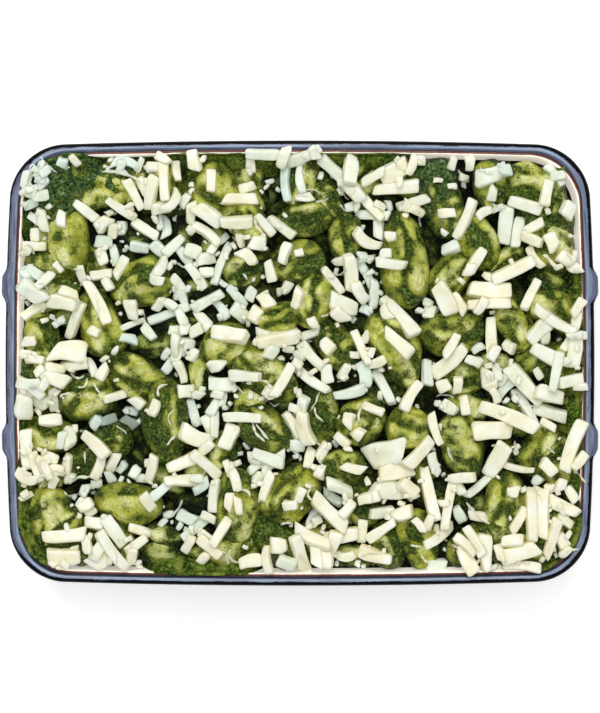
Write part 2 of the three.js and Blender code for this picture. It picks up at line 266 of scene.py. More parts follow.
def screen(red, green, blue):
    """A colour given as it looks on a screen, 0 to 255, as the linear colour that shaders take."""
    def channel(value):
        share = value / 255
        return share / 12.92 if share <= 0.04045 else ((share + 0.055) / 1.055) ** 2.4
    return (channel(red), channel(green), channel(blue), 1.0)


def ramp(add, factor, stops):
    """A colour ramp with its stops given as (place, colour), or (place, grey) for a plain number."""
    node = add("ValToRGB", {"Fac": factor})
    while len(node.color_ramp.elements) < len(stops):
        node.color_ramp.elements.new(0.5)
    for element, (place, colour) in zip(node.color_ramp.elements, stops):
        element.position = place
        element.color = colour if isinstance(colour, tuple) else (colour, colour, colour, 1.0)
    return node.outputs["Color"]


def mix(add, factor, first, second):
    return add("Mix", {"Factor": factor, "A": first, "B": second}, data_type="RGBA").outputs["Result"]


def spread(add, value, low, high, new_low=0.0, new_high=1.0):
    """Stretches a number so that low becomes new_low and high becomes new_high, smoothly."""
    inputs = {"Value": value, "From Min": low, "From Max": high, "To Min": new_low, "To Max": new_high}
    return add("MapRange", inputs, interpolation_type="SMOOTHSTEP").outputs["Result"]


def sum_of(add, first, *weighted):
    """The first number plus each (value, centre, weight) as weight times value less centre."""
    total = first
    for value, centre, weight in weighted:
        less = add("Math", {0: value, 1: centre}, operation="SUBTRACT").outputs[0]
        total = add("Math", {0: less, 1: weight, 2: total}, operation="MULTIPLY_ADD").outputs[0]
    return total


def product(add, first, second):
    return add("Math", {0: first, 1: second}, operation="MULTIPLY").outputs[0]


def noise(add, place, scale, detail, roughness=0.5, distortion=0.0):
    """A smooth random pattern, mostly between 0.3 and 0.7, with its scale to the metre."""
    look = {"Detail": detail, "Roughness": roughness, "Distortion": distortion}
    return add("TexNoise", {"Vector": place, "Scale": scale, **look}).outputs["Fac"]


def reading(add, name):
    """A number that the mesh's points carry."""
    return add("Attribute", attribute_name=name).outputs["Fac"]


def enamel_material():
    material, shader, add = new_material("vitreous_enamel")
    place = add("TexCoord").outputs["Object"]
    past_line = reading(add, "liner")
    round_x, round_y = reading(add, "round_x"), reading(add, "round_y")
    across = product(add, past_line, 1.7)
    rim_place = add("CombineXYZ", {"X": round_x, "Y": round_y, "Z": across}).outputs["Vector"]
    wander = noise(add, place, 90.0, 3.0)
    streaks = noise(add, rim_place, 1.0, 4.0, 0.6)
    fine = noise(add, place, 700.0, 2.0)
    edge = sum_of(add, past_line, (wander, 0.5, 0.5), (fine, 0.5, 0.3))
    flank_shade = sum_of(add, reading(add, "flank"), (wander, 0.5, 1.2), (fine, 0.5, 0.8))

    # Slate with painted reflections streaking along the rim and a painted highlight on the crest,
    # which sits further in on the short sides.
    parts = add("SeparateXYZ", {"Vector": place}).outputs
    short_side = spread(add, add("Math", {0: parts["X"]}, operation="ABSOLUTE").outputs[0], 0.11, 0.12)
    front = spread(add, parts["Y"], 0.0, -0.08, 0.2, 1.0)
    slate = ramp(add, streaks, [
        (0.3, screen(66, 72, 96)),
        (0.5, screen(94, 102, 128)),
        (0.7, screen(122, 134, 160)),
    ])
    crest = sum_of(add, past_line, (short_side, 0.0, -0.95), (streaks, 0.5, 1.0))
    crest = add("Math", {0: crest, 1: 3.1}).outputs[0]
    crest = add("Math", {0: crest}, operation="ABSOLUTE").outputs[0]
    along = noise(add, rim_place, 0.25, 2.0)
    crest_highlight = product(add, spread(add, crest, 0.8, 0.1), spread(add, along, 0.35, 0.6, 0.3, 0.95))
    slate = mix(add, crest_highlight, slate, screen(152, 168, 196))
    # Painted shade on the bead's inner slope, on the long sides and most on the -Y side.
    inner_slope_shade = product(add, spread(add, edge, -2.9, -2.0), spread(add, short_side, 1.0, 0.2))
    slate = mix(add, product(add, inner_slope_shade, front), slate, screen(36, 40, 60))
    # The bead's outer flank in painted shade: near-black, and with less coat.
    flank_shade_black = ramp(add, wander, [(0.3, screen(2, 2, 5)), (0.7, screen(8, 7, 14))])
    navy = mix(add, spread(add, flank_shade, -0.2, 0.1), slate, flank_shade_black)

    # The groove in painted shade, the red-brown ground coat and the cream liner.
    navy = mix(add, spread(add, edge, -1.6, -1.1), navy, screen(26, 26, 42))
    cream = ramp(add, wander, [(0.3, screen(255, 250, 238)), (0.7, screen(255, 254, 248))])
    body = mix(add, spread(add, edge, -0.1, 0.05), navy, cream)
    ground = product(add, spread(add, edge, -0.95, -0.6), spread(add, edge, 0.1, -0.05))
    rust = ramp(add, streaks, [(0.4, screen(104, 26, 14)), (0.6, screen(112, 60, 34))])
    coloured = mix(add, ground, body, rust)
    chips = ramp(add, fine, [(0.24, 1.0), (0.27, 0.0)])
    colour = mix(add, chips, coloured, screen(24, 24, 34))
    rough = ramp(add, wander, [(0.3, 0.2), (0.7, 0.34)])
    bump = add("Bump", {"Height": streaks, "Strength": 0.2, "Distance": 0.0004})
    gloss = spread(add, flank_shade, 0.15, -0.25, 0.0, 0.4)
    # The cream liner glows a little: painted light that brightens it where it lies in shade.
    liner_glow = mix(add, spread(add, edge, -0.1, 0.3), (0, 0, 0, 1), (0.5, 0.46, 0.41, 1))
    feed(shader, Base_Color=colour, Roughness=rough, Normal=bump.outputs["Normal"])
    feed(shader, Coat_Weight=gloss, Emission_Color=liner_glow)
    shader.inputs["Emission Strength"].default_value = 1.0
    shader.inputs["Coat Roughness"].default_value = 0.1
    shader.inputs["Specular IOR Level"].default_value = 0.1
    return material


roasting_tin.data.materials.append(enamel_material())

# ---- The gnocchi --------------------------------------------------------------------------------
# Plump pillows of potato dough, rolled, cut and pressed by hand, boiled and tossed in pesto. Each
# one differs in length, lumps and dents, and the pesto lies thickest in the dents and between them.

TOP_LAYER = 37
LAYER_STEP = 3.5
DOME = 2
BLUNT = 0.8
GNOCCO_HEIGHT = 0.88
GAP = 0.15
CREASE_DEPTHS = (0.0, 0.06, 0.12, 0.2)
DENTS = 8
COAT_IN_DENTS = 2.6
COAT_THICKNESS = 0.35
CREST_GAIN = 2.5

# x, y, length, width, turn in degrees, layer counted down from the top, how thick its pesto is.
GNOCCHI = [
    (-106, 78, 25, 17, -80, 2, 1.5), (-86, 84, 25, 15, 0, 2, 1.5), (-83, 73, 30, 17, 5, 0, 0.3),
    (-98, 52, 31, 19, -85, 0, 0.3), (-119, 53, 22, 14, 85, 1, 0.4), (-102, 31, 19, 14, 0, 2, 0.2),
    (-68, 34, 28, 21, 15, 0, 0.6), (-68, 56, 25, 17, 0, 2, 0.8), (-46, 73, 23, 17, 60, 1, 0.55),
    (-37, 79, 28, 21, -70, 0, 0.2), (-49, 56, 22, 15, 80, 2, 0.8), (-21, 79, 25, 17, -75, 1, 0.5),
    (-12, 79, 21, 14, -90, 2, 0.4), (10, 71, 25, 19, -70, 1, 1.0), (3, 62, 24, 18, 10, 0, 0.85),
    (-1, 43, 25, 19, 10, 0, 0.8), (-22, 42, 24, 18, 45, 1, 0.6), (-22, 60, 25, 16, -65, 0, 0.3),
    (5, 27, 25, 18, 75, 0, 0.4), (19, 54, 21, 14, -90, 0, 0.6), (8, 85, 19, 15, 0, 2, 0.8),
    (27, 85, 22, 16, 20, 1, 0.5), (32, 66, 20, 14, 0, 2, 1.0), (48, 79, 20, 14, -80, 1, 0.45),
    (61, 67, 29, 17, -80, 0, 0.85), (67, 85, 22, 14, 0, 2, 1.1), (44, 44, 42, 20, -84, 0, 0.35),
    (75, 52, 27, 18, -65, 0, 0.5), (64, 37, 24, 18, 45, 0, 0.45), (98, 76, 24, 19, -20, 0, 0.5),
    (111, 69, 20, 15, 80, 2, 1.1), (112, 50, 27, 18, -60, 0, 0.6), (88, 43, 21, 15, 45, 1, 0.5),
    (116, 35, 22, 16, 0, 1, 0.9), (111, 23, 24, 17, -30, 0, 0.4), (83, 70, 20, 15, 0, 2, 0.8),
    (-85, 16, 31, 19, -70, 0, 0.4), (-64, 9, 23, 18, 10, 2, 0.7), (-111, 11, 25, 15, -75, 0, 0.5),
    (-71, -5, 32, 19, -40, 0.5, 0.5), (-91, -15, 26, 21, 20, 0, 0.5), (-58, -25, 38, 19, -88, 0, 0.75),
    (-44, -6, 20, 12, 85, 1, 0.2), (-32, 8, 23, 18, 10, 0, 0.35), (-16, -4, 35, 18, -35, 0, 0.7),
    (-22, -17, 19, 16, 80, 1, 0.5), (-15, -28, 26, 19, -35, 0, 0.8), (-6, -12, 20, 16, 60, 2, 0.6),
    (-9, 19, 20, 14, 10, 0, 0.1), (15, 8, 25, 17, -60, 1, 0.85), (8, -22, 32, 17, -88, 1, 1.15),
    (26, -25, 23, 20, 30, 0, 0.7), (41, 6, 35, 19, -60, 0, 0.45), (46, -28, 20, 19, 0, 0, 0.2),
    (69, -36, 32, 18, -75, 0, 0.6), (72, -17, 20, 14, -30, 1, 0.5), (68, -7, 22, 16, 0, 1, 0.8),
    (65, 13, 30, 19, 8, 0, 0.6), (91, 17, 28, 16, -70, 0, 0.4), (97, 0, 22, 15, 60, 1, 0.6),
    (115, -15, 20, 14, 0, 1, 0.8), (102, -37, 25, 17, 55, 0, 0.5), (87, -62, 34, 19, 80, 0, 0.5),
    (107, -85, 24, 14, 5, 1, 0.2), (116, -72, 22, 15, -90, 1, 0.7), (50, -76, 27, 17, -75, 0, 0.5),
    (63, -83, 21, 14, 0, 2, 0.8), (27, -59, 25, 17, -90, 1, 0.8), (18, -45, 21, 17, 30, 0, 0.85),
    (-4, -56, 30, 22, 55, 0, 0.4), (-27, -62, 36, 19, 82, 0, 0.6), (-73, -60, 30, 18, -5, 0, 0.3),
    (-108, -66, 28, 20, 85, 0, 0.5), (-58, -75, 20, 15, -20, 1, 0.75), (-61, -86, 24, 14, -12, 1, 0.5),
    (-41, -86, 21, 14, 20, 1, 0.25), (-45, -58, 20, 16, 0, 2, 1.0), (-21, -84, 21, 15, 85, 1, 0.5),
    (-7, -75, 23, 16, 20, 2, 1.2), (-109, -31, 24, 16, -10, 0, 0.4), (-80, -33, 18, 15, 0, 0, 1.25),
    (-91, -42, 20, 18, 10, 1, 0.8), (-72, -44, 24, 16, -85, 2, 0.85), (24, -86, 21, 14, 0, 1, 0.4),
    (-33, -38, 20, 15, 60, 1, 0.85), (-40, 34, 24, 17, 20, 2, 0.8), (36, -14, 21, 16, 0, 2, 0.85),
    (43, -50, 24, 16, 0, 2, 1.0), (93, 63, 24, 17, 80, 2, 0.7), (-102, -84, 23, 14, 0, 2, 1.0),
    (104, -67, 24, 17, 85, 2, 0.4), (-83, -77, 24, 16, -40, 2, 0.7), (-115, -16, 21, 15, 85, 2, 0.5),
    (121, 6, 24, 14, 88, 2, 0.5),
]


def clearance(x, y, inset):
    """How far points lie inside the outline at an inset, and the way inward from each."""
    radius = RIM_CORNER - CORNER_SHRINK * inset
    over_x = np.abs(x) / (1 - BOW * (y / HALF_WIDTH) ** 2) - (HALF_LENGTH - inset - radius)
    over_y = np.abs(y) / (1 - BOW * (x / HALF_LENGTH) ** 2) - (HALF_WIDTH - inset - radius)
    out_x, out_y = np.maximum(over_x, 0), np.maximum(over_y, 0)
    inside = (over_x <= 0) & (over_y <= 0)
    reach = np.where(inside, np.maximum(over_x, over_y), np.hypot(out_x, out_y))
    way_x = np.where(inside, over_x > over_y, out_x)
    way_y = np.where(inside, over_x <= over_y, out_y)
    length = np.maximum(np.hypot(way_x, way_y), 1e-9)
    return radius - reach, -np.sign(x) * way_x / length, -np.sign(y) * way_y / length


def bead_height(inset):
    """The height of the rim's bead this far in from its edge, and of the lip where the bead ends."""
    over = np.clip(BEAD_RADIUS**2 - (inset - BEAD_RADIUS) ** 2, 0, None)
    return np.where(inset < 2 * BEAD_RADIUS, BEAD_MIDDLE + np.sqrt(over), LIP_MIDDLE + SHOULDER_RADIUS)


def free_inset(z):
    """How far in from the rim's edge the free space inside the wall, or over the bead, starts."""
    over = BEAD_RADIUS + np.sqrt(np.clip(BEAD_RADIUS**2 - (z - BEAD_MIDDLE) ** 2, 0, None))
    return np.where(z < LIP_MIDDLE + SHOULDER_RADIUS, wall_inset(z), over)


def keep_clear(points):
    """Moves a placed piece in until all of it is clear of the wall, or lies over the rim's bead."""
    moved = np.zeros(2)
    for _ in range(8):
        depth, way_x, way_y = clearance(points[:, 0], points[:, 1], free_inset(points[:, 2]))
        worst = int(np.argmin(depth))
        short = GAP - depth[worst]
        if short <= 0:
            break
        step = np.array([way_x[worst], way_y[worst]]) * (short + 0.05)
        points[:, :2] += step
        moved += step
    return moved


def dome(x, y):
    return DOME * (1 - (x / HALF_LENGTH) ** 2) * (1 - (y / HALF_WIDTH) ** 2)


def cube_grid(cuts):
    """Points and faces of a cube from -1 to 1 with evenly cut faces."""
    shape = bmesh.new()
    bmesh.ops.create_cube(shape, size=2)
    bmesh.ops.subdivide_edges(shape, edges=shape.edges[:], cuts=cuts, use_grid_fill=True)
    points = np.array([vertex.co[:] for vertex in shape.verts])
    faces = np.array([[vertex.index for vertex in face.verts] for face in shape.faces])
    shape.free()
    return points, faces


def wobble(points, rng, low, high, waves=5):
    """Smooth random bumps over points, about -1 to 1, with waves between the two frequencies."""
    total = np.zeros(len(points))
    for _ in range(waves):
        way = rng.normal(size=3)
        way *= rng.uniform(low, high) / np.linalg.norm(way)
        total += np.sin(points @ way + rng.uniform(0, 2 * math.pi))
    return total / math.sqrt(waves)


def gnocco_shape(unit, length, width, cover, rng):
    """One gnocco along X round the origin, with the pesto on each point and how much it stands out."""
    x, y, z = unit.T
    along = np.sign(x) * np.abs(x) ** BLUNT
    round_angle = np.arctan2(z, y)
    ends = np.clip(1 - np.abs(along) ** 3, 0, 1)
    dent = np.zeros(len(unit))
    for middle in (rng.uniform(45, 90), rng.uniform(90, 135)):
        depth = rng.choice(CREASE_DEPTHS)
        off_crease = round_angle - math.radians(middle) - 0.25 * np.sin(3 * along + rng.uniform(0, 6))
        dent += depth * ends * np.exp(-((off_crease / rng.uniform(0.14, 0.26)) ** 2))
    for _ in range(DENTS):
        spot = rng.normal(size=3)
        spot[2] = abs(spot[2]) + 0.2
        spot /= np.linalg.norm(spot)
        away = np.linalg.norm(unit - spot, axis=1)
        dent += rng.uniform(0.04, 0.16) * np.exp(-((away / rng.uniform(0.12, 0.32)) ** 2))
    lumps = 0.06 * wobble(unit, rng, 2.5, 5) + 0.045 * wobble(unit, rng, 6, 11)
    swell = 1 + lumps - dent
    taper = 1 + rng.uniform(-0.12, 0.12) * along
    bend = rng.uniform(-0.07, 0.07) * length * (along**2 - 0.3)
    points = np.column_stack([
        along * length / 2 * (1 + 0.5 * lumps),
        y * width / 2 * swell * taper + bend,
        z * width / 2 * GNOCCO_HEIGHT * swell * taper,
    ])
    coat = cover + COAT_IN_DENTS * dent
    coat += 0.3 * wobble(points, rng, 0.35, 0.7) + 0.22 * wobble(points, rng, 0.9, 1.6, 9)
    points += unit * (COAT_THICKNESS * np.clip(coat - 0.4, -0.5, 1))[:, None]
    # The last number is a point's height on the gnocco, lower in the dents: it sets the painted light on
    # the dough, pale on top and shaded on the flanks and in the dents, and thins the pesto on top.
    return points, coat, z + CREST_GAIN * (lumps - dent)


def turned(points, degrees):
    angle = math.radians(degrees)
    cos, sin = math.cos(angle), math.sin(angle)
    x, y, z = points.T
    return np.column_stack([x * cos - y * sin, x * sin + y * cos, z])


def ball_grid(cuts):
    """Points and faces of a unit ball from an evenly cut cube."""
    points, faces = cube_grid(cuts)
    points = np.tan(points * math.pi / 4)
    return points / np.linalg.norm(points, axis=1)[:, None], faces


ball, ball_faces = ball_grid(12)
small_ball, small_ball_faces = ball_grid(8)

# Height of the food's surface on a grid, raised as each thing is laid on it.
BED_TOP = 33.5
GRID = 0.5
grid_x = np.arange(-HALF_LENGTH, HALF_LENGTH + GRID, GRID)
grid_y = np.arange(-HALF_WIDTH, HALF_WIDTH + GRID, GRID)
cell_x, cell_y = np.meshgrid(grid_x, grid_y, indexing="ij")
surface = BED_TOP + dome(cell_x, cell_y)


def near(x, y, reach):
    """The block of grid cells within a reach of a point."""
    return np.ix_(np.abs(grid_x - x) < reach, np.abs(grid_y - y) < reach)


def place_gnocco(unit, x, y, z, length, width, turn, cover, rng):
    """Shapes a gnocco, sets it in the tin and raises the surface under whatever comes next."""
    shape, coat, crest = gnocco_shape(unit, length, width, cover, rng)
    shape = turned(shape, turn) + [x, y, z]
    x, y = keep_clear(shape) + [x, y]
    block = near(x, y, length / 2)
    angle = math.radians(turn)
    along = (cell_x[block] - x) * math.cos(angle) + (cell_y[block] - y) * math.sin(angle)
    across = (cell_y[block] - y) * math.cos(angle) - (cell_x[block] - x) * math.sin(angle)
    out = np.abs(2 * along / length) ** (2 / BLUNT) + (2 * across / width) ** 2
    top = z + GNOCCO_HEIGHT * width / 2 * np.sqrt(np.clip(1 - out, 0, 1))
    surface[block] = np.where(out < 1, np.maximum(surface[block], top), surface[block])
    return shape, coat, crest


def gnocchi_piece(name, shapes, coats, crests, faces):
    """Joins many gnocchi into one piece, with the numbers that colour them."""
    count = len(shapes[0])
    joined = np.vstack([faces + number * count for number in range(len(shapes))]).tolist()
    values = {"coat": np.concatenate(coats), "crest": np.concatenate(crests)}
    piece = make_piece(name, np.vstack(shapes), joined, values)
    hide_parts("gnocchi_heap")
    return piece


gnocchi_rng = np.random.default_rng(7)
laid = []
for x, y, length, width, turn, layer, cover in GNOCCHI:
    z = TOP_LAYER - layer * LAYER_STEP + dome(x, y)
    laid.append(place_gnocco(ball, x, y, z, length, width, turn, cover, gnocchi_rng))
gnocchi = gnocchi_piece("gnocchi", *zip(*laid), ball_faces)

# More of them lie half sunk in the gaps between those above: each goes where it is emptiest.
LOWER_GNOCCHI = 72
LOWER_LAYER = 31.5
AT_WALL, OFF_WALL = 4, 14
RAISED_AT_WALL = 6
TRIES = 160
EXTRA_COVER = 0.7

# x, y and reach of the places where those below are thick with pesto.
THICK_SPOTS = [
    (-98, 82, 24), (67, 85, 14), (43, -50, 13), (-7, -75, 13), (-102, -84, 14), (32, 66, 12), (111, 69, 12),
]

laid = []
for _ in range(LOWER_GNOCCHI):
    spots_x = gnocchi_rng.uniform(8 - HALF_LENGTH, HALF_LENGTH - 8, TRIES)
    spots_y = gnocchi_rng.uniform(8 - HALF_WIDTH, HALF_WIDTH - 8, TRIES)
    fullness = [surface[near(x, y, 5)].mean() for x, y in zip(spots_x, spots_y)]
    x, y = spots_x[np.argmin(fullness)], spots_y[np.argmin(fullness)]
    length, width = gnocchi_rng.uniform(20, 27), gnocchi_rng.uniform(14, 17)
    from_wall = clearance(np.array(x), np.array(y), WALL_TOP_INSET)[0]
    raised = float(np.interp(from_wall, [AT_WALL, OFF_WALL], [RAISED_AT_WALL, 0]))
    z = LOWER_LAYER + gnocchi_rng.uniform(-1, 1.5) + dome(x, y) + raised
    turn, cover = gnocchi_rng.uniform(0, 180), gnocchi_rng.uniform(0.4, 1.0)
    cover += EXTRA_COVER * any(math.hypot(x - tx, y - ty) < reach for tx, ty, reach in THICK_SPOTS)
    laid.append(place_gnocco(small_ball, x, y, z, length, width, turn, cover, gnocchi_rng))
lower_gnocchi = gnocchi_piece("lower_gnocchi", *zip(*laid), small_ball_faces)


def new_group(name, inputs, outputs):
    """A node group with float or colour sockets: its tree, adder, input sockets and output node."""
    tree = bpy.data.node_groups.new(name, "ShaderNodeTree")
    for key, kind in inputs.items():
        tree.interface.new_socket(key, in_out="INPUT", socket_type="NodeSocket" + kind)
    for key, kind in outputs.items():
        tree.interface.new_socket(key, in_out="OUTPUT", socket_type="NodeSocket" + kind)
    given = tree.nodes.new("NodeGroupInput").outputs
    made = tree.nodes.new("NodeGroupOutput").inputs
    return tree, adder(tree), given, made


# Chopped herb in oil: dark leaf bits in a lighter green, with painted shade that turns it blackish
# further down in the food.
chopped_herb, add, given, made = new_group(
    "chopped_herb",
    {"Place": "Vector", "Depth_shade": "Float"},
    {"Color": "Color", "Relief": "Float", "Cool_reflection": "Float"},
)
leaf = noise(add, given["Place"], 760.0, 4.0, 0.7)
clots = noise(add, given["Place"], 240.0, 2.0)
bits = add("TexVoronoi", {"Vector": given["Place"], "Scale": 900.0}).outputs
tone = sum_of(add, leaf, (bits["Distance"], 0.45, 0.3), (clots, 0.5, 0.5), (given["Depth_shade"], 0.0, -0.4))
herb_colour = ramp(add, tone, [
    (0.2, screen(4, 10, 2)),
    (0.35, screen(27, 43, 8)),
    (0.48, screen(54, 75, 18)),
    (0.6, screen(86, 109, 34)),
    (0.72, screen(124, 143, 60)),
    # The palest stop is painted glints of the oil.
    (0.86, screen(172, 184, 132)),
])

# Two patches of it carry a painted cool reflection of the sky, a cooler green.
sky_reflection_patches = []
for patch in ((-0.1, 0.078, 0.038), (0.062, 0.082, 0.038)):
    away = add("VectorMath", {0: given["Place"], 1: patch}, operation="DISTANCE").outputs["Value"]
    sky_reflection_patches.append(spread(add, away, 0.034, 0.014))
sky_reflection = add("Math", {0: sky_reflection_patches[0], 1: sky_reflection_patches[1]}, operation="ADD").outputs[0]
cooler = add("HueSaturation", {"Color": herb_colour, "Hue": 0.53, "Saturation": 0.85, "Fac": sky_reflection})
chopped_herb.links.new(cooler.outputs["Color"], made["Color"])
chopped_herb.links.new(sky_reflection, made["Cool_reflection"])
chopped_herb.links.new(tone, made["Relief"])


def dough_material():
    material, shader, add = new_material("dough_in_pesto")
    place = add("TexCoord").outputs["Object"]
    coat, crest = reading(add, "coat"), reading(add, "crest")
    height = add("SeparateXYZ", {"Vector": place}).outputs["Z"]
    # Lower down the pesto lies thicker, and painted shade darkens the dough and herb, to near-black in the
    # gaps.
    down = spread(add, height, 0.042, 0.034)
    gap_shade = spread(add, height, 0.0395, 0.034)
    patches = noise(add, place, 150.0, 5.0, 0.6, 0.6)
    mottle = noise(add, place, 460.0, 4.0, 0.7)
    pits = noise(add, place, 1500.0, 2.0)
    total = sum_of(add, coat, (patches, 0.5, 1.5), (mottle, 0.5, 1.2))
    total = sum_of(add, total, (crest, 0.55, -0.85), (down, 0.0, 0.3))

    # Dough in painted light and shade: pale on the crests, yellower and darker on the flanks and in
    # the dents, under a thin green film of oil.
    dough_tone_and_light = sum_of(add, crest, (mottle, 0.5, 1.7), (patches, 0.5, 0.8))
    dough = ramp(add, dough_tone_and_light, [
        (0.05, screen(104, 108, 18)),
        (0.4, screen(168, 172, 54)),
        (0.72, screen(214, 218, 106)),
        (0.98, screen(242, 243, 176)),
    ])
    film = spread(add, total, 0.0, 0.85)
    dough = mix(add, film, dough, screen(128, 142, 50))
    # Painted shade on the lower dough.
    dough = mix(add, down, dough, screen(88, 116, 48))

    # Clots of chopped herb with ragged edges, and single shreds of leaf.
    share = spread(add, sum_of(add, total, (pits, 0.5, 1.1)), 0.55, 1.1)
    herb = add("Group", node_tree=chopped_herb)
    tree = material.node_tree
    tree.links.new(place, herb.inputs["Place"])
    tree.links.new(down, herb.inputs["Depth_shade"])
    colour = mix(add, share, dough, herb.outputs["Color"])
    flakes = add("TexVoronoi", {"Vector": place, "Scale": 640.0, "Detail": 1.0}).outputs
    picked = ramp(add, flakes["Color"], [(0.54, 0.0), (0.59, 1.0)])
    shred = spread(add, flakes["Distance"], 0.4, 0.3)
    shred = product(add, product(add, shred, picked), spread(add, total, -0.5, 0.2))
    colour = mix(add, shred, colour, screen(40, 60, 20))
    # Painted shade, near-black, deepest in the gaps.
    colour = mix(add, spread(add, gap_shade, 0.0, 1.0, 0.0, 0.75), colour, screen(8, 14, 3))
    rough = ramp(add, share, [(0.0, 0.5), (1.0, 0.26)])
    relief = sum_of(add, share, (herb.outputs["Relief"], 0.5, 1.2), (pits, 0.5, 0.4), (shred, 0.0, 0.4))
    lumpy = add("Bump", {"Height": patches, "Strength": 0.8, "Distance": 0.004})
    rough_bits = {"Height": relief, "Strength": 1.0, "Distance": 0.0009, "Normal": lumpy.outputs["Normal"]}
    bump = add("Bump", rough_bits)
    feed(shader, Base_Color=colour, Roughness=rough, Normal=bump.outputs["Normal"])
    shader.inputs["Specular IOR Level"].default_value = 0.25
    return material


dough_in_pesto = dough_material()
gnocchi.data.materials.append(dough_in_pesto)
lower_gnocchi.data.materials.append(dough_in_pesto)

# ---- The bed of pesto ---------------------------------------------------------------------------
# Oily green herb sauce with chopped leaf in it, which fills the tin between the hidden gnocchi and
# shows dark in the gaps, with painted shade further down. Spooned in, it is lumpy and climbs the wall,
# but for a few bare stretches.

BED_RINGS = 36
BED_FINENESS = 30
SMEAR_FOOT = 32
SMEAR_THICKNESS = 0.45
SMEAR_BLEND = 5
BARE_RUN = 2

# x, y, half length and cleanness of each stretch where the wall stays clean.
BARE_STRETCHES = [
    (-73, 94, 14, 0.45), (82, 94, 27, 1), (125, 63, 18, 1), (40, -94, 56, 1), (-86, -94, 18, 1),
    (-125, 25, 27, 1), (-125, 66, 16, 0.25), (-125, -20, 20, 0.2), (0, 94, 60, 0.12), (125, -10, 50, 0.1),
]

# The bank of pesto inside the wall: how far it has sunk towards the bed at each distance inward.
BANK = [(0.6, 0.97), (1.5, 0.9), (3.0, 0.76), (5.0, 0.54), (7.5, 0.28), (10.0, 0.08)]

bed_rng = np.random.default_rng(11)
wide, narrow = outline(3, BED_FINENESS), outline(15, BED_FINENESS)


def covered(x, y):
    """Whether the wall by each point is under pesto, 1, or bare, 0."""
    bare = np.zeros(np.shape(x))
    for spot_x, spot_y, half, clean in BARE_STRETCHES:
        away = np.hypot(x - spot_x, y - spot_y)
        bare = np.maximum(bare, clean * np.clip((half + SMEAR_BLEND - away) / SMEAR_BLEND, 0, 1))
    return 1 - bare


def rim_ring(insets, heights):
    """A ring of points with an inset and a height for each."""
    share = (insets - 3) / 12
    return np.column_stack([wide + (narrow - wide) * share[:, None], heights])


def over_wall(offset):
    """A line that climbs the wall's face and goes over its lip onto the bead, at an offset."""
    line = [(float(wall_inset(z, offset)), z) for z in (SMEAR_FOOT, 38)]
    line += arc(LIP_INSET, LIP_MIDDLE, SHOULDER_RADIUS + offset, 0, 90, 6)
    line += [(bead_inset, bead_z + offset) for bead_inset, bead_z in ((3.9, 44.1), (3.5, 44.45))]
    return np.array(line)


wall_line, smear_line = over_wall(GAP), over_wall(GAP + SMEAR_THICKNESS)
wall_run = np.concatenate([[0], np.cumsum(np.hypot(*np.diff(wall_line, axis=0).T))])


def smear_ring(share, line):
    run = smear_run * share
    return rim_ring(np.interp(run, wall_run, line[:, 0]), np.interp(run, wall_run, line[:, 1]))


cover = covered(*wide.T)
ragged = wobble(np.column_stack([wide, 0 * cover]), bed_rng, 0.2, 0.9, 9)
smear_run = BARE_RUN + (wall_run[-1] - 0.7 + 0.5 * ragged - BARE_RUN) * cover
bed_rings = [level_ring(inset, z, BED_FINENESS) for inset, z in fillet_arc(GAP)]
bed_rings += [level_ring(wall_inset(z, GAP), z, BED_FINENESS) for z in (12, 20, 28)]
bed_rings += [smear_ring(share, wall_line) for share in (0, 0.4, 0.7, 0.8, 0.84, 0.88, 0.92, 0.96, 1.0)]
bed_rings += [smear_ring(share, smear_line) for share in (0.98, 0.95, 0.92, 0.88, 0.84, 0.8)]
bank_start = len(bed_rings)
bank_top = bed_rings[-1][:, 2]
for further_in, share in BANK:
    heights = BED_TOP + (bank_top - BED_TOP) * share
    bed_rings.append(rim_ring(wall_inset(heights, GAP + SMEAR_THICKNESS) + further_in, heights))
flat_insets = np.linspace(wall_inset(BED_TOP) + BANK[-1][0] + 1.5, HALF_WIDTH - 2, BED_RINGS)
bed_rings += [level_ring(inset, BED_TOP, BED_FINENESS) for inset in flat_insets]
bed_points, bed_faces = skin(bed_rings, (SHEET + GAP, BED_TOP))
ring_number = np.append(np.repeat(np.arange(len(bed_rings)), len(wide)), [0, len(bed_rings)])
loose = np.clip((ring_number - bank_start + 1) / len(BANK), 0, 1)
bed_relief = 0.9 * wobble(bed_points, bed_rng, 0.2, 0.5, 7)
bed_relief += 0.5 * wobble(bed_points, bed_rng, 0.7, 1.3, 9)
bed_points[:, 2] += (bed_relief + dome(bed_points[:, 0], bed_points[:, 1])) * loose
on_wall = np.clip(1.3 - loose, 0, 1) * (ring_number > 9)
pesto_bed = make_piece("pesto_bed", bed_points, bed_faces, {"bank": on_wall})
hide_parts("gnocchi_heap")

# What is strewn next rests on the bank too, and on the rim.
from_wall = clearance(cell_x, cell_y, WALL_TOP_INSET)[0]
bank_in, bank_share = zip(*BANK)
bank_rise = np.interp(from_wall, bank_in, bank_share, 1, 0) * covered(cell_x, cell_y)
bank_height = BED_TOP + (LIP_MIDDLE - BED_TOP) * bank_rise
on_rim = from_wall < 0
bank_height[on_rim] = bead_height(WALL_TOP_INSET + from_wall[on_rim]) + SMEAR_THICKNESS
surface = np.maximum(surface, bank_height)


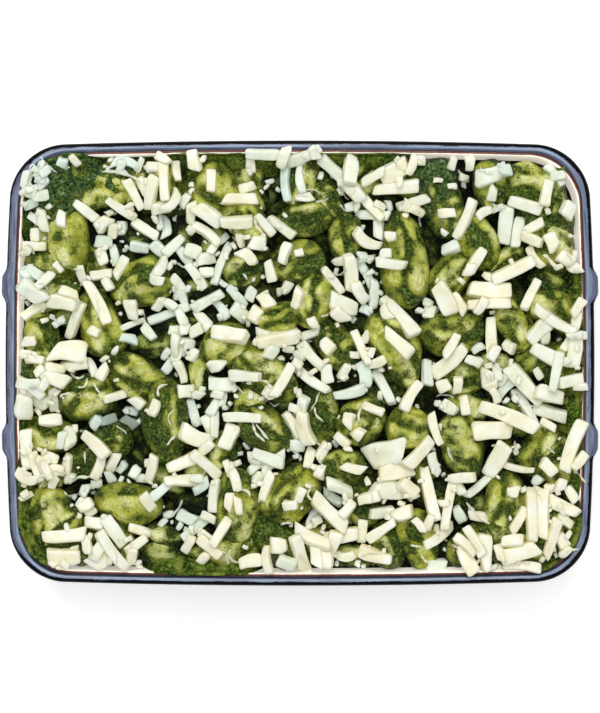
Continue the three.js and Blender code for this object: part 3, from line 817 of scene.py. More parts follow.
def pesto_material():
    material, shader, add = new_material("pesto")
    place = add("TexCoord").outputs["Object"]
    height = add("SeparateXYZ", {"Vector": place}).outputs["Z"]
    patches = noise(add, place, 150.0, 5.0, 0.65)
    herb = add("Group", node_tree=chopped_herb)
    tree = material.node_tree
    tree.links.new(place, herb.inputs["Place"])
    # Painted shade: the herb darkens further down.
    tree.links.new(spread(add, height, 0.041, 0.033), herb.inputs["Depth_shade"])
    thin = ramp(add, patches, [(0.3, screen(70, 88, 24)), (0.7, screen(132, 142, 60))])
    share = product(add, spread(add, patches, 0.48, 0.64), reading(add, "bank"))
    share = product(add, share, spread(add, herb.outputs["Cool_reflection"], 0.6, 0.1))
    colour = mix(add, share, herb.outputs["Color"], thin)
    bump = add("Bump", {"Height": herb.outputs["Relief"], "Strength": 0.8, "Distance": 0.001})
    feed(shader, Base_Color=colour, Normal=bump.outputs["Normal"])
    shader.inputs["Roughness"].default_value = 0.4
    shader.inputs["Specular IOR Level"].default_value = 0.08
    return material


pesto_bed.data.materials.append(pesto_material())

# ---- The grated cheese --------------------------------------------------------------------------
# A firm white cheese pushed through the large holes of a box grater and roughly chopped: straight
# and curved sticks with cut ends, short chunks, crumbs and thin wisps. It is strewn over last, and
# what fell between the gnocchi is given a painted cool shade.

CHEESE_HEIGHT = 0.85
CHEESE_THICKEST = 4.6
CHEESE_SINK = 0.5
COOL_SHADE_BELOW = 41.8
COOL_SHADE_WISPS_BELOW = 42
COOL_SHADE_SPAN = 5
STEEPEST = math.radians(22)
HIGHEST_END = 48.5
PILE_FOOT = 46
PILE_SHARE = 0.6

# x, y, length, width, turn in degrees of each large stick.
STICKS = [
    (-91, 64.5, 12, 4, -38), (-76, 65.5, 14, 3.5, -33), (-66, 57, 13, 4, -32),
    (-70.5, 71.5, 14, 4, -62), (-63, 72, 14, 4, 80), (-57.5, 77.5, 18, 4, -88), (-54.5, 68, 11, 4, 50),
    (-54, 50, 11, 4, 42), (-38.5, 63, 13, 6, -35), (-39.5, 55, 14, 4, -38), (-44, 37, 13, 4, -55),
    (-33.5, 42.5, 19, 3.5, 68), (-25.5, 69.5, 14, 4.5, 0), (-27, 59.5, 14, 5, 2),
    (-15, 58.5, 11, 3.5, -50), (-8, 58, 14, 3.5, -38), (0, 78, 12, 3.5, -82), (-6, 77, 17, 3.5, -88),
    (-16, 90.5, 14, 4, -3), (1, 89.5, 14, 4.5, 18), (14, 84.5, 14, 4.5, -42), (21.5, 81.5, 12, 6, 85),
    (22, 74, 13, 6, -50), (30.5, 66, 14, 4, -50), (31, 63, 14, 4, -5), (28, 52, 12, 4.5, -32),
    (41, 74.5, 19, 5, 4), (48, 68.5, 14, 4, 15), (40, 83, 13, 7.5, 30), (31, 79, 11, 4, 30),
    (38.5, 42, 12, 4, -8), (21.5, 38.5, 15, 5.5, -85), (13.5, 35, 13, 4, -50), (-27, 28.5, 11, 4, -50),
    (-39.5, 26.5, 15, 4, 28), (-56, 21, 19, 4, 22), (-85.5, 25.5, 20, 4.5, -62),
    (-71.5, 16.5, 11, 2.5, 22), (-95.5, 18, 16, 4, 68), (-100, 25.5, 12, 6, -15),
    (-113.5, 30, 12, 7, -35), (-113, 22.5, 12, 4, 35), (-98.5, 5, 14, 8.5, -3), (-96, -1, 12, 3.5, 3),
    (-104, -7, 12, 5.5, -15), (-86.5, -34.5, 14, 5, -42), (-85.5, -43.5, 12, 4, 70),
    (-117, -36.5, 17, 5, -88), (-112, -44, 13, 4, -75), (-99.5, -73, 18, 5.5, 5),
    (-79.5, -79.5, 20, 4.5, -55), (-78.5, -71, 14, 5.5, -55), (-101, -83.5, 14, 6.5, 0),
    (-69.5, -77, 11, 4, 35), (-83.5, -84, 12, 7, 30), (-63, -45, 12, 4, 75), (-50.5, -42.5, 13, 5, 22),
    (-59, -54, 14, 4, 42), (-50.5, -50, 14, 4.5, 2), (-44, -31.5, 14, 7, -20),
    (-40, -43, 15, 4.5, -42), (-36.5, -26, 11, 3.5, 88), (-45.5, -21, 12, 4, -75),
    (-24, -23, 16, 4, -2), (-30, -31.5, 11, 6, 65), (-33.5, -9, 11, 6, -5), (-30, 12, 15, 6, -8),
    (-9.5, 10, 18, 6.5, 12), (-23.5, -5.5, 13, 4.5, -5), (-7.5, -7.5, 16, 4, 60),
    (4.5, -7, 18, 4, -37), (5, 3, 14, 4.5, -48), (18, 25, 12, 7, -20), (31.5, 29.5, 12, 4, 88),
    (42, 20, 21, 5.5, -50), (41.5, 8.5, 15, 5.5, -42), (26, 6.5, 16, 3.5, -65),
    (27.5, -5, 12, 5.5, -80), (35.5, -10, 16, 4, -62), (21, -12.5, 14, 4, 14),
    (2, -27.5, 14, 5.5, -75), (-3, -26.5, 13, 4, -58), (-13.5, -40.5, 14, 5, -18),
    (-11.5, -42, 13, 4, 40), (-14, -52.5, 13, 4, 72), (-36.5, -56.5, 14, 4, 85),
    (-33.5, -71.5, 14, 4, 58), (-44.5, -70, 15, 4.5, 42), (-38, -78, 12, 4.5, -38),
    (-14, -83.5, 12, 3.5, -82), (12.5, -63.5, 20, 5.5, -45), (17, -53, 12, 4.5, -22),
    (36.5, -38.5, 16, 11, 12), (37, -54, 14, 8, 2), (50.5, -38, 16, 5, 48), (57.5, -28, 14, 4, -70),
    (55, -55.5, 23, 5, -78), (63, -60.5, 21, 4, 80), (68.5, -48.5, 11, 4, 5), (76, -52.5, 14, 3.5, 40),
    (84, -41, 15, 7, 62), (59, -73.5, 15, 4, 35), (74, -75, 14, 4, -60), (70, -77, 11, 4, -40),
    (70.5, -83, 14, 6, -65), (78.5, -80.5, 16, 5.5, -88), (92.5, -80, 16, 6.5, 18),
    (98, -64, 22, 4.5, -90), (103, -64, 21, 5, 88), (111.5, -59.5, 21, 5.5, -25),
    (106.5, -74, 17, 4, 72), (92.5, -66.5, 12, 4, 58), (94, -87, 16, 4, -3), (117, -35, 23, 5.5, 70),
    (92.5, -44.5, 14, 2.5, -12), (81.5, -28.5, 17, 7.5, -2), (89, -23, 25, 6, -22),
    (96, -19, 17, 4, -62), (95.5, -9, 21, 6, -48), (105.5, -13.5, 12, 6, -15),
    (106.5, -21, 15, 5, -18), (87, -11.5, 11, 4, 50), (108, -3.5, 17, 4, 80), (105, 3, 16, 6, -30),
    (115.5, -7.5, 11, 5, 12), (107.5, 18, 20, 4, -32), (118, 6, 16, 6, 85), (101, 13.5, 12, 6, 45),
    (98, 29, 14, 4, 62), (81.5, 11, 17, 4.5, -88), (61.5, 27, 14, 7, -65), (80.5, 30.5, 18, 7, -5),
    (90.5, 39.5, 20, 5, 25), (74.5, 43.5, 12, 4.5, 58), (70, 61, 18, 4, 66),
    (108.5, 80.5, 11, 3.5, -50), (104, 71.5, 11, 4.5, 78), (87.5, 59, 16, 6, 86),
    (92.5, 55.5, 13, 4.5, 80), (95.5, 67, 14, 5, -18), (100, 45, 11, 3.5, -55), (63, 0.5, 19, 6, 40),
    (64, 7.5, 11, 4, 60), (54, -4, 11, 4, -88), (47, -14, 14, 4.5, 62), (35, -63.5, 11, 4.5, 5),
    (34.5, -71, 14, 4, 35), (17.5, -73.5, 15, 6, 12), (5, -74, 16, 5, -25), (0, -80.5, 16, 5.5, -75),
    (11, -80.5, 12, 5, -85), (32, -81.5, 14, 5, -15), (40.5, -46, 14, 7, 10), (80, 25, 18, 4, 3),
    (-73.5, 86, 12, 4, -14), (13, -77.5, 13, 5.5, 65),
]

# The same for the shorter pieces.
CHUNKS = [
    (-109.5, 79, 9.5, 5, -65), (-112.5, 85, 7.5, 3, 70), (-101, 86.5, 4.5, 4, -20),
    (-115.5, 78, 7.5, 3.5, 80), (-109.5, 70.5, 7, 4, 15), (-109, 60.5, 9.5, 4, -80),
    (-112.5, 61.5, 7, 3.5, -30), (-101, 61, 7, 4, 85), (-112.5, 54.5, 6, 4, -90),
    (-114, 49.5, 10, 4, 0), (-52.5, 81.5, 8.5, 3.5, -80), (-45, 86, 8.5, 5, -75), (-62, 83, 6, 4, 0),
    (-57.5, 58.5, 9.5, 4, -75), (-83.5, 59.5, 7, 5, 40), (-79.5, 56.5, 6, 4, 80),
    (-76, 57.5, 6, 4, 85), (-83.5, 52, 7, 5, 0), (-84.5, 45.5, 7.5, 4.5, -70),
    (-79, 46, 9.5, 3.5, -75), (-76, 40.5, 9.5, 4, 62), (-68.5, 49.5, 8, 4.5, -10),
    (-60, 48.5, 8.5, 5, -45), (-59, 40.5, 9.5, 4, 60), (-60.5, 35, 6, 4, -10),
    (-46.5, 63.5, 9.5, 4, 85), (-45.5, 47.5, 7, 6, -15), (-52, 33.5, 8.5, 4, -50),
    (-50, 28, 7, 3.5, -65), (-39.5, 38.5, 6, 4, 0), (-22.5, 74.5, 7, 4, 15), (-37.5, 77, 9.5, 4, -90),
    (-21, 85.5, 7, 4, -90), (-25.5, 52, 6, 3.5, -90), (-18, 51, 7, 6, 0), (-6.5, 46.5, 9.5, 4, 72),
    (-0.5, 46.5, 4, 3, 10), (2, 70.5, 7, 4, 0), (-7, 89.5, 8.5, 4.5, 75), (5, 89.5, 8.5, 3.5, 30),
    (33.5, 57, 8.5, 4, 88), (22.5, 67, 7, 4, 20), (47.5, 85, 9.5, 3.5, 70), (36.5, 46.5, 4.5, 4, 0),
    (38.5, 53.5, 4.5, 4, 0), (26.5, 41.5, 7.5, 4, -60), (30, 35, 8.5, 4, -60),
    (-12.5, 39, 9.5, 4, -75), (-5.5, 32.5, 5, 4, 60), (-1, 27.5, 8.5, 4, 75),
    (-14.5, 26.5, 7, 5.5, -60), (-19, 20.5, 7, 5.5, 60), (-21, 29.5, 6, 4.5, 70),
    (-41, 18, 8.5, 4.5, -50), (-33.5, 23, 9.5, 4, -58), (-25.5, 21.5, 8.5, 6, -40),
    (-71.5, 23, 8.5, 5, -80), (-87, 13.5, 5, 4, -30), (-97.5, 29.5, 8.5, 4, -20),
    (-108, 35, 9.5, 4, 45), (-104, -2, 8.5, 4, -10), (-105, -15.5, 10, 4, -88), (-114.5, 9.5, 5, 4, 0),
    (-112.5, 1.5, 8.5, 3.5, -5), (-89, -1.5, 9.5, 3.5, -60), (-83.5, -4, 7.5, 4, 60),
    (-78.5, -14, 9.5, 3.5, 15), (-69, -16.5, 6.5, 4, -35), (-61.5, -19, 7.5, 4, 70),
    (-106, -24.5, 9.5, 5, 3), (-118, -18.5, 9.5, 7, 80), (-97.5, -31, 8.5, 5, -80),
    (-110, -16.5, 7.5, 5.5, 0), (-87, -25, 6, 4, 55), (-79.5, -42, 8.5, 4, 62),
    (-106.5, -40.5, 7.5, 5, -20), (-103.5, -45.5, 7, 5, 0), (-99, -43.5, 9.5, 4, 85),
    (-117, -48.5, 9.5, 4.5, -25), (-92, -54.5, 5, 4, 60), (-91, -61.5, 9.5, 5, -40),
    (-87, -68, 8.5, 5, -10), (-90, -77, 7.5, 4, -75), (-68, -71, 10, 4, -15), (-71.5, -82, 7.5, 4, 80),
    (-67.5, -49, 5, 4, 0), (-70.5, -46.5, 5, 4, 60), (-64.5, -58.5, 7.5, 4.5, -60),
    (-49, -12, 6, 5.5, 0), (-35, -1, 6, 5, 0), (-53.5, 14, 4.5, 4, 0), (-49, 14, 4.5, 4, 10),
    (-47.5, 8.5, 5, 4.5, 0), (-53, 7.5, 9.5, 3.5, 85), (-44, 14, 6, 5, 30), (-45.5, 3.5, 6, 4, 60),
    (-56, -1, 7.5, 4, 60), (-50.5, -3.5, 9.5, 3.5, -70), (-64.5, 13, 7.5, 4, -50),
    (-15.5, 12.5, 6, 4, -20), (-12.5, -12.5, 6, 5, -40), (11.5, -4.5, 8.5, 5, -85),
    (11.5, 7.5, 7, 5.5, -50), (5.5, 17, 5, 4, -60), (4.5, 12.5, 8.5, 3.5, 20), (33, 0.5, 7.5, 4, 20),
    (1, -18, 7, 4.5, 75), (20.5, -24, 6, 4.5, 70), (31, -19.5, 9.5, 3.5, -20), (24.5, -30, 5, 4.5, 45),
    (18, -32.5, 7.5, 4, -40), (-1.5, -35, 6, 5, 0), (-19, -40.5, 6, 5, 0), (-18, -49, 6, 4.5, 60),
    (-27.5, -49.5, 9.5, 4, -70), (-30, -58.5, 7.5, 3.5, 80), (-26, -60.5, 7.5, 3.5, -82),
    (-47.5, -77, 7.5, 4, 60), (-40.5, -82.5, 6, 4, 50), (-21, -84, 10, 5.5, 15), (-9, -77, 7, 6.5, 0),
    (-4, -60, 6, 4, 0), (0, -56, 7, 3.5, 65), (5.5, -65.5, 10, 3.5, 62), (20, -62, 8.5, 4, 50),
    (22.5, -44.5, 9.5, 4, -15), (8.5, -46, 6, 4, 70), (9.5, -37.5, 8.5, 4, 60), (4, -40.5, 8.5, 4, 75),
    (57, -43, 10, 4, -70), (45, -54, 9.5, 4, -50), (68, -64.5, 7.5, 4.5, -60), (89.5, -75, 9.5, 5, 5),
    (111.5, -75.5, 7.5, 5, -60), (112.5, -67, 7.5, 4, -35), (116, -55.5, 7.5, 4, -60),
    (110.5, -51.5, 5.5, 4, 70), (106.5, -53, 4.5, 3.5, 0), (101, -50, 4.5, 4, 50),
    (119.5, -41.5, 8.5, 4, 50), (105, -44, 7.5, 5, -40), (114, 9, 9.5, 4, 55), (119, 18, 7.5, 4, 80),
    (122, 23.5, 8.5, 4, 55), (88.5, 7, 5.5, 4.5, -30), (67.5, 25.5, 10, 4, -55),
    (76.5, 24, 7.5, 4, 60), (55.5, 21.5, 5.5, 5, 70), (62, 63.5, 7.5, 4, 5), (64, 49, 7.5, 5, 20),
    (79.5, 79, 10, 7, 15), (81.5, 72, 6, 4, 80), (86.5, 81.5, 6, 5, 0), (99.5, 58, 8.5, 4, 30),
    (98.5, 52.5, 8.5, 4.5, -25), (106.5, 51.5, 7.5, 5.5, -60), (112.5, 44, 7.5, 5.5, -30),
    (118, 40.5, 6, 4.5, 0), (113.5, 65, 7, 6, 60), (73.5, 1, 7, 4, -15), (79.5, -6.5, 7.5, 5, 88),
    (61, -9.5, 5.5, 5, 20), (67, -9.5, 7, 4, 85), (63.5, -19, 7.5, 5, -30), (70, -18, 8.5, 4, -80),
    (43, -64, 9.5, 6, 10), (26.5, -71.5, 10, 4, 85), (-5.5, -84.5, 8.5, 5.5, -20),
    (19.5, -82, 7.5, 4, 0), (58, -86.5, 8.5, 4, 0), (50.5, -68.5, 7, 3.5, -50),
    (71.5, 39.5, 5.5, 4, 60), (28.5, 22.5, 6, 4, -30), (36.5, 21.5, 7, 4, -60), (82, 4.5, 7, 4, 60),
    (27.5, -57.5, 6, 4, 12), (64.5, 75, 4, 2.5, 0), (70, 77.5, 5, 2, 80), (58.5, 77.5, 4, 2, 0),
    (17, 43.5, 6, 4, 20), (-73, -25.5, 7.5, 5, -30), (-81.5, -24, 7, 4, 20), (-76, 83, 6, 3.5, 75),
    (-68, 84, 6, 2.5, 60), (-66.5, 75, 8.5, 3.5, -65), (-59, 66, 8.5, 4.5, 10), (-49, 69, 6, 3.5, 60),
    (-92.5, 37, 9.5, 3.5, -70), (-84.5, 37.5, 9.5, 4, 8), (-81.5, 33.5, 6, 3.5, -55),
    (-102.5, 40.5, 5, 2.5, -50), (-112.5, 38.5, 7.5, 4, -30), (-116.5, 34, 7.5, 5, 70),
    (-117, 39.5, 5, 3.5, 20), (-49, 45.5, 10, 4, -52), (-22, 45, 8.5, 5, -45), (-33, 53, 6, 3, 40),
    (84, 66, 5, 2.5, 20), (-115, -9, 10, 5.5, -10), (-117, -12.5, 7.5, 4.5, 30),
    (-111, -12, 7, 4, -40), (-108, -9, 6, 3.5, 60), (-110, -3.5, 5, 3.5, 40), (-102.5, 17.5, 6, 3, 40),
    (-50.5, 19.5, 8.5, 4, -65), (-73, 10.5, 7, 4, -8), (17, 20.5, 7.5, 5, -40), (-12.5, 4.5, 6, 5, 60),
    (28.5, 11, 6, 3.5, 60), (-36.5, -19, 7.5, 4, 60), (-33, -15.5, 6, 3, 80),
    (-39.5, -26, 7.5, 4, -60), (25.5, 30, 9.5, 5, -60), (84, -4, 7.5, 3.5, -75),
    (86.5, -7.5, 6, 3, 60), (105.5, -26.5, 7, 3.5, -30), (75.5, 6.5, 6, 3, 30),
    (-107, -45.5, 8.5, 3.5, -70), (-104.5, -50.5, 6, 3.5, 60), (-109.5, -43, 7.5, 3.5, -60),
    (-101, -32.5, 7, 3.5, 80), (-48, -66, 8.5, 5, -20), (-85.5, -79.5, 9.5, 5, 60),
    (-118, -56.5, 6, 2.5, 30), (-40, -36, 7.5, 4, 40), (-42, -52.5, 7, 4, 45), (-44, -49, 5, 3.5, 0),
    (-30.5, -44.5, 7, 3, -70), (-19, -44, 7.5, 4, 40), (14, -57.5, 9.5, 4, -35),
    (-39.5, -74.5, 7, 4, -40), (7, -80.5, 11, 4.5, -85), (29.5, -57, 8.5, 5, 15),
    (46, -53, 8.5, 5.5, -40), (90, -54.5, 5, 4.5, 0), (68, -53, 7, 4, -60), (54.5, -67.5, 7, 3.5, 70),
    (84.5, -80, 7.5, 3.5, -75), (-116.5, 77.5, 7.5, 3, 75), (-112.5, 71.5, 7.5, 4, -20),
    (-114, 67.5, 6, 4, 25), (-40, 44.5, 7.5, 5, 10), (-37, 49, 6, 3.5, 60), (-52.5, 4.5, 9.5, 4.5, 75),
    (-60, 25.5, 6, 4, 60), (-91, -60.5, 7, 4.5, 30), (0, -20, 7, 4, 60),
]

# x, y, length, width, turn in degrees and curl in radians of the shavings that stand out.
SHAVINGS = [
    (-76, 80, 17, 1.4, -12, -0.9), (-106, 83, 8, 0.9, -38, 0.1), (-108.5, 86, 6, 0.8, -50, 0.2),
    (-69, 82, 4, 1.1, 85, 0.1), (-50.5, 41.5, 6, 0.9, -30, 0.1), (-12.5, -16.5, 10, 1.1, -40, 2.6),
    (7.5, -22, 8, 1.0, -60, 0.5), (-16, -29, 9, 1.1, -52, 0.4), (4, 9.5, 4, 0.9, -12, 0.2),
    (25.5, -21, 8, 1.1, -110, 2.0), (11, 20.5, 5, 0.9, 20, 0.8), (63.5, -38.5, 7, 0.9, -70, 0.3),
    (76, -64.5, 15, 1.2, -42, 0.5), (64.5, -77, 7, 1.1, -28, -0.5), (49, -77.5, 5, 1.0, -8, -0.8),
    (53, -83.5, 5, 1.1, -45, 0.2), (116, -79.5, 6, 1.0, 5, 0.1), (119.5, -48.5, 6, 0.9, -55, 0.3),
    (92, -36, 6, 1.3, -80, 0.2), (106.5, -37, 4, 1.0, -40, 0.3), (78.5, 81, 7, 1.0, -40, 1.6),
    (51, 63, 10, 1.0, -85, 0.4), (106, 43, 9, 1.7, -50, -1.6), (42, 84, 9, 1.0, -60, 2.2),
    (9.5, 69, 6, 1.0, 15, 0.8), (16, 76.5, 11, 1.2, -75, -0.6), (-28.5, 54.5, 8, 1.2, -65, 0.6),
    (-18, 58, 8, 1.3, -60, 0.5), (-102.5, 18, 8, 1.0, -30, 1.8), (-95, -5.5, 8, 1.1, -20, 2.4),
    (-91.5, -9, 7, 1.0, 40, 2.0), (-86, -10.5, 6, 1.0, -60, 1.4), (-59, -11, 8, 1.2, 60, -2.2),
    (-99, -13.5, 7, 1.1, 10, -2.0), (-93.5, -49, 12, 1.3, 14, -0.5), (-98, -56, 7, 1.1, -20, 2.2),
    (-72, -77, 7, 1.1, 60, 1.8), (-28.5, -82.5, 9, 1.1, -60, 3.0), (-18, -29.5, 10, 1.2, -58, 0.4),
    (-23.5, -54.5, 8, 1.2, -20, -2.4), (-5.5, -68, 6, 1.3, 5, -2.2), (76, 82, 5, 0.9, -30, 1.4),
    (84.5, 66.5, 7, 1.0, -20, 1.2), (-54.5, -32.5, 6, 1.0, 50, 0.5), (19.5, 65.5, 7, 1.0, -30, 1.0),
    (84, -1, 7, 1.1, -60, 1.6),
]

# x, y, reach and strength of the places where the cheese is given painted cool shade.
COOL_SHADE_SPOTS = [
    (-109, 78, 10, 0.9), (-102, 87, 5, 0.9), (-114, 67, 9, 0.8), (-116, 36, 8, 0.9), (-73, 85, 8, 0.9),
    (-49, 68, 5, 0.6), (-5, 79, 6, 1.2), (-16, 90, 8, 0.5), (1, 90, 8, 0.5), (15, 84, 7, 0.5),
    (28, 76, 8, 0.4), (-10, 71, 3, 0.8), (32, 40, 9, 0.6), (22, 28, 6, 0.5), (-35, 27, 10, 0.5),
    (-37, -8, 8, 0.6), (-40, -19, 9, 0.8), (1, -19, 4, 0.6), (23, -13, 6, 0.8), (-12, 2, 4, 0.7),
    (-49, 8, 12, 0.4), (-102, 19, 6, 0.8), (-114, -12, 10, 0.5), (-55, 21, 9, 0.6), (-73, 11, 4, 0.9),
    (-73, -25, 6, 1.5), (-83, -24, 6, 1.5), (85, -4, 9, 0.4), (94, -11, 13, 0.3), (120, 10, 9, 0.4),
    (74, 6, 6, 0.7), (54, -4, 5, 0.6), (-101, -35, 5, 0.7), (-83, -73, 8, 0.5), (-69, -48, 5, 0.6),
    (-57, -56, 5, 1.2), (-15, -39, 10, 0.5), (-25, -53, 4, 0.5), (-42, -52, 6, 0.8), (15, -57, 6, 0.5),
    (-6, -84, 5, 0.5), (63, -42, 5, 1.2), (85, 81, 8, 0.8), (107, 83, 7, 0.8), (80, 71, 4, 0.5),
    (63, 52, 4, 1.2), (-97, 65, 23, 0.35), (-51, 39, 30, 0.4), (9, 82, 30, 0.35), (81, 82, 25, 0.4),
    (104, 1, 21, 0.4), (-32, -16, 25, 0.35), (38, 35, 21, 0.35), (0, 56, 25, 0.3), (115, 63, 17, 0.3),
]


def cool_shade_at(x, y):
    """How much painted cool shade the cheese gets by its place in the plan."""
    shares = []
    for spot_x, spot_y, reach, share in COOL_SHADE_SPOTS:
        shares.append(share * math.exp(-(((x - spot_x) ** 2 + (y - spot_y) ** 2) / reach**2)))
    return max(shares)


def height_at(x, y):
    """The height of the food's surface at points in the plan."""
    column = np.clip(np.rint((x + HALF_LENGTH) / GRID).astype(int), 0, len(grid_x) - 1)
    row = np.clip(np.rint((y + HALF_WIDTH) / GRID).astype(int), 0, len(grid_y) - 1)
    return surface[column, row]


def resting_line(offsets, heights):
    """The height and slope at which a straight piece rests over the heights below it."""
    best = (-math.inf, 0.0)
    for left in range(len(offsets)):
        for right in range(left + 1, len(offsets)):
            if offsets[left] <= 0 <= offsets[right]:
                slope = (heights[right] - heights[left]) / (offsets[right] - offsets[left])
                best = max(best, (heights[left] - slope * offsets[left], slope))
    return best


def lay(x, y, length, width, thickness, turn):
    """Where a piece dropped at x, y comes to rest: its middle's height, tilt and roll."""
    angle = math.radians(turn)
    offsets = np.linspace(-0.5, 0.5, 9) * length
    sides = np.array([-0.35, 0, 0.35]) * width
    px = x + offsets[:, None] * math.cos(angle) - sides * math.sin(angle)
    py = y + offsets[:, None] * math.sin(angle) + sides * math.cos(angle)
    heights = height_at(px, py)
    level, slope = resting_line(offsets, heights.mean(axis=1) * 0.5 + heights.max(axis=1) * 0.5)
    level = min(level, PILE_FOOT + PILE_SHARE * (level - PILE_FOOT))
    steepest = min(STEEPEST, math.atan(max(HIGHEST_END - level, 0.5) / (length / 2)))
    tilt = float(np.clip(math.atan(slope), -steepest, steepest))
    lean = math.atan((heights[:, 2].mean() - heights[:, 0].mean()) / (0.7 * width))
    roll = float(np.clip(0.6 * lean, -0.4, 0.4))
    return level + thickness / 2 - CHEESE_SINK * min(1, thickness / 3), tilt, roll


def raise_surface(x, y, z, length, width, thickness, turn, tilt):
    """Lets later pieces rest on this one."""
    angle = math.radians(turn)
    block = near(x, y, length / 2 + width)
    dx, dy = cell_x[block] - x, cell_y[block] - y
    along = dx * math.cos(angle) + dy * math.sin(angle)
    across = dy * math.cos(angle) - dx * math.sin(angle)
    on_it = (np.abs(along) < length / 2) & (np.abs(across) < width / 2)
    top = z + thickness / 2 + along * math.tan(tilt)
    surface[block] = np.where(on_it, np.maximum(surface[block], top), surface[block])


def posed(points, x, y, z, turn, tilt, roll):
    """Rolls a piece about its length, tilts it, turns it and sets it in place."""
    px, py, pz = points.T
    py, pz = py * math.cos(roll) - pz * math.sin(roll), py * math.sin(roll) + pz * math.cos(roll)
    px, pz = px * math.cos(tilt) - pz * math.sin(tilt), px * math.sin(tilt) + pz * math.cos(tilt)
    return turned(np.column_stack([px, py, pz]), turn) + [x, y, z]


def cut_block(grid, length, width, thickness, rng, chops, softness=0.085):
    """A bit of cheese along X: a block whose six faces lean a little, with some corners cut off."""
    slant = width / length
    planes = []
    for way in (-1, 1):
        slanted = rng.choice([0.15, 0.3, 0.8])
        planes.append(([way, rng.uniform(-slanted, slanted) * slant, rng.uniform(-0.2, 0.2) * slant], 1))
        planes.append(([rng.uniform(-0.1, 0.1), way, rng.uniform(-0.1, 0.1)], 1))
        planes.append(([rng.uniform(-0.06, 0.06), rng.uniform(-0.1, 0.1), way], 1))
    for _ in range(chops):
        planes.append((np.sign(rng.normal(size=3)) * rng.uniform(0.2, 1, 3), rng.uniform(1.25, 1.8)))
    closeness = np.stack([grid @ np.asarray(normal) / offset for normal, offset in planes])
    sharpness = 1 / softness
    scale = np.sum(np.maximum(closeness, 0) ** sharpness, axis=0) ** (-1 / sharpness)
    x, y, z = (grid * scale[:, None]).T
    pinch = 1 + rng.uniform(-0.14, 0.14) * x + 0.05 * np.sin(x * rng.uniform(2, 5) + rng.uniform(0, 6))
    y, z = y * pinch * width / 2, z * (1 + rng.uniform(-0.12, 0.12) * x) * thickness / 2
    twist = rng.uniform(-0.25, 0.25) * x * slant * 2
    y, z = y * np.cos(twist) - z * np.sin(twist), y * np.sin(twist) + z * np.cos(twist)
    bend = rng.normal(scale=rng.choice([0.015, 0.03, 0.07])) * length * (x**2 - 0.35)
    arch = rng.uniform(-0.03, 0.05) * length * (x**2 - 0.35)
    points = np.column_stack([x * length / 2, y + bend, z - arch])
    return points + rng.normal(scale=0.009 * min(width, 4), size=points.shape)


class Strewn:
    """Gathers many pieces of one kind into one mesh."""

    def __init__(self):
        self.points, self.faces, self.depths, self.count = [], [], [], 0

    def add(self, points, faces, depth):
        self.points.append(points)
        self.faces.append(faces + self.count)
        self.depths.append(np.full(len(points), depth))
        self.count += len(points)

    def piece(self, name, material):
        points, faces = np.vstack(self.points), np.vstack(self.faces).tolist()
        made = make_piece(name, points, faces, {"cool_shade": np.concatenate(self.depths)})
        made.data.materials.append(material)
        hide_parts("gnocchi_heap")


def cheese_material():
    material, shader, add = new_material("white_cheese")
    place = add("TexCoord").outputs["Object"]
    cool_shade = reading(add, "cool_shade")
    patches = noise(add, place, 160.0, 3.0)
    fibre = noise(add, place, 900.0, 3.0, 0.6)
    cheese_tone_and_side_shade = ramp(add, patches, [
        (0.3, screen(234, 228, 196)),
        (0.5, screen(242, 239, 216)),
        (0.68, screen(247, 247, 236)),
    ])
    cool_shade_colour = ramp(add, patches, [(0.3, screen(196, 218, 210)), (0.7, screen(226, 239, 232))])
    # Painted shade: faces turned away from up are yellower and darker.
    up = add("SeparateXYZ", {"Vector": add("NewGeometry").outputs["Normal"]}).outputs["Z"]
    cheese_tone_and_side_shade = mix(add, spread(add, up, 0.75, 0.1, 0.0, 0.8), cheese_tone_and_side_shade, screen(240, 228, 172))
    # Painted cool shade: a pale blue-green, dimmed to grey-green where strongest.
    colour = mix(add, cool_shade, cheese_tone_and_side_shade, cool_shade_colour)
    colour = mix(add, spread(add, cool_shade, 1.0, 1.7), colour, screen(92, 110, 92))
    bump = add("Bump", {"Height": fibre, "Strength": 0.3, "Distance": 0.0003})
    feed(shader, Base_Color=colour, Normal=bump.outputs["Normal"])
    shader.inputs["Roughness"].default_value = 0.5
    shader.inputs["Specular IOR Level"].default_value = 0.25
    shader.inputs["Subsurface Weight"].default_value = 0.6
    shader.inputs["Subsurface Radius"].default_value = (0.8, 0.8, 1.0)
    shader.inputs["Subsurface Scale"].default_value = 0.004
    # A faint glow: painted light that lifts the cheese's shaded sides.
    shader.inputs["Emission Color"].default_value = (0.95, 0.95, 0.82, 1)
    shader.inputs["Emission Strength"].default_value = 0.035
    return material


cheese_rng = np.random.default_rng(23)
cheese = cheese_material()
sticks, chunks, crumbs, wisps = Strewn(), Strewn(), Strewn(), Strewn()
stick_grid, chunk_grid, crumb_grid = cube_grid(7), cube_grid(5), cube_grid(2)


def drop(kind, x, y, length, width, turn, grid, chops):
    """Cuts a bit of cheese, lets it fall and adds it to its kind."""
    thickness = min(CHEESE_HEIGHT * width, CHEESE_THICKEST) * cheese_rng.uniform(0.85, 1.1)
    z, tilt, roll = lay(x, y, length, width, thickness, turn)
    # Pieces lying low, and those at the listed spots, get painted cool shade.
    sunk = (COOL_SHADE_BELOW - z) / COOL_SHADE_SPAN + cheese_rng.uniform(-0.12, 0.12)
    depth = max(float(np.clip(sunk, 0, 0.8)), cool_shade_at(x, y))
    shape = cut_block(grid[0], length / math.cos(tilt), width, thickness, cheese_rng, chops)
    shape = posed(shape, x, y, z, turn, tilt, roll)
    keep_clear(shape)
    kind.add(shape, grid[1], depth)
    raise_surface(x, y, z, length, width, thickness, turn, tilt)


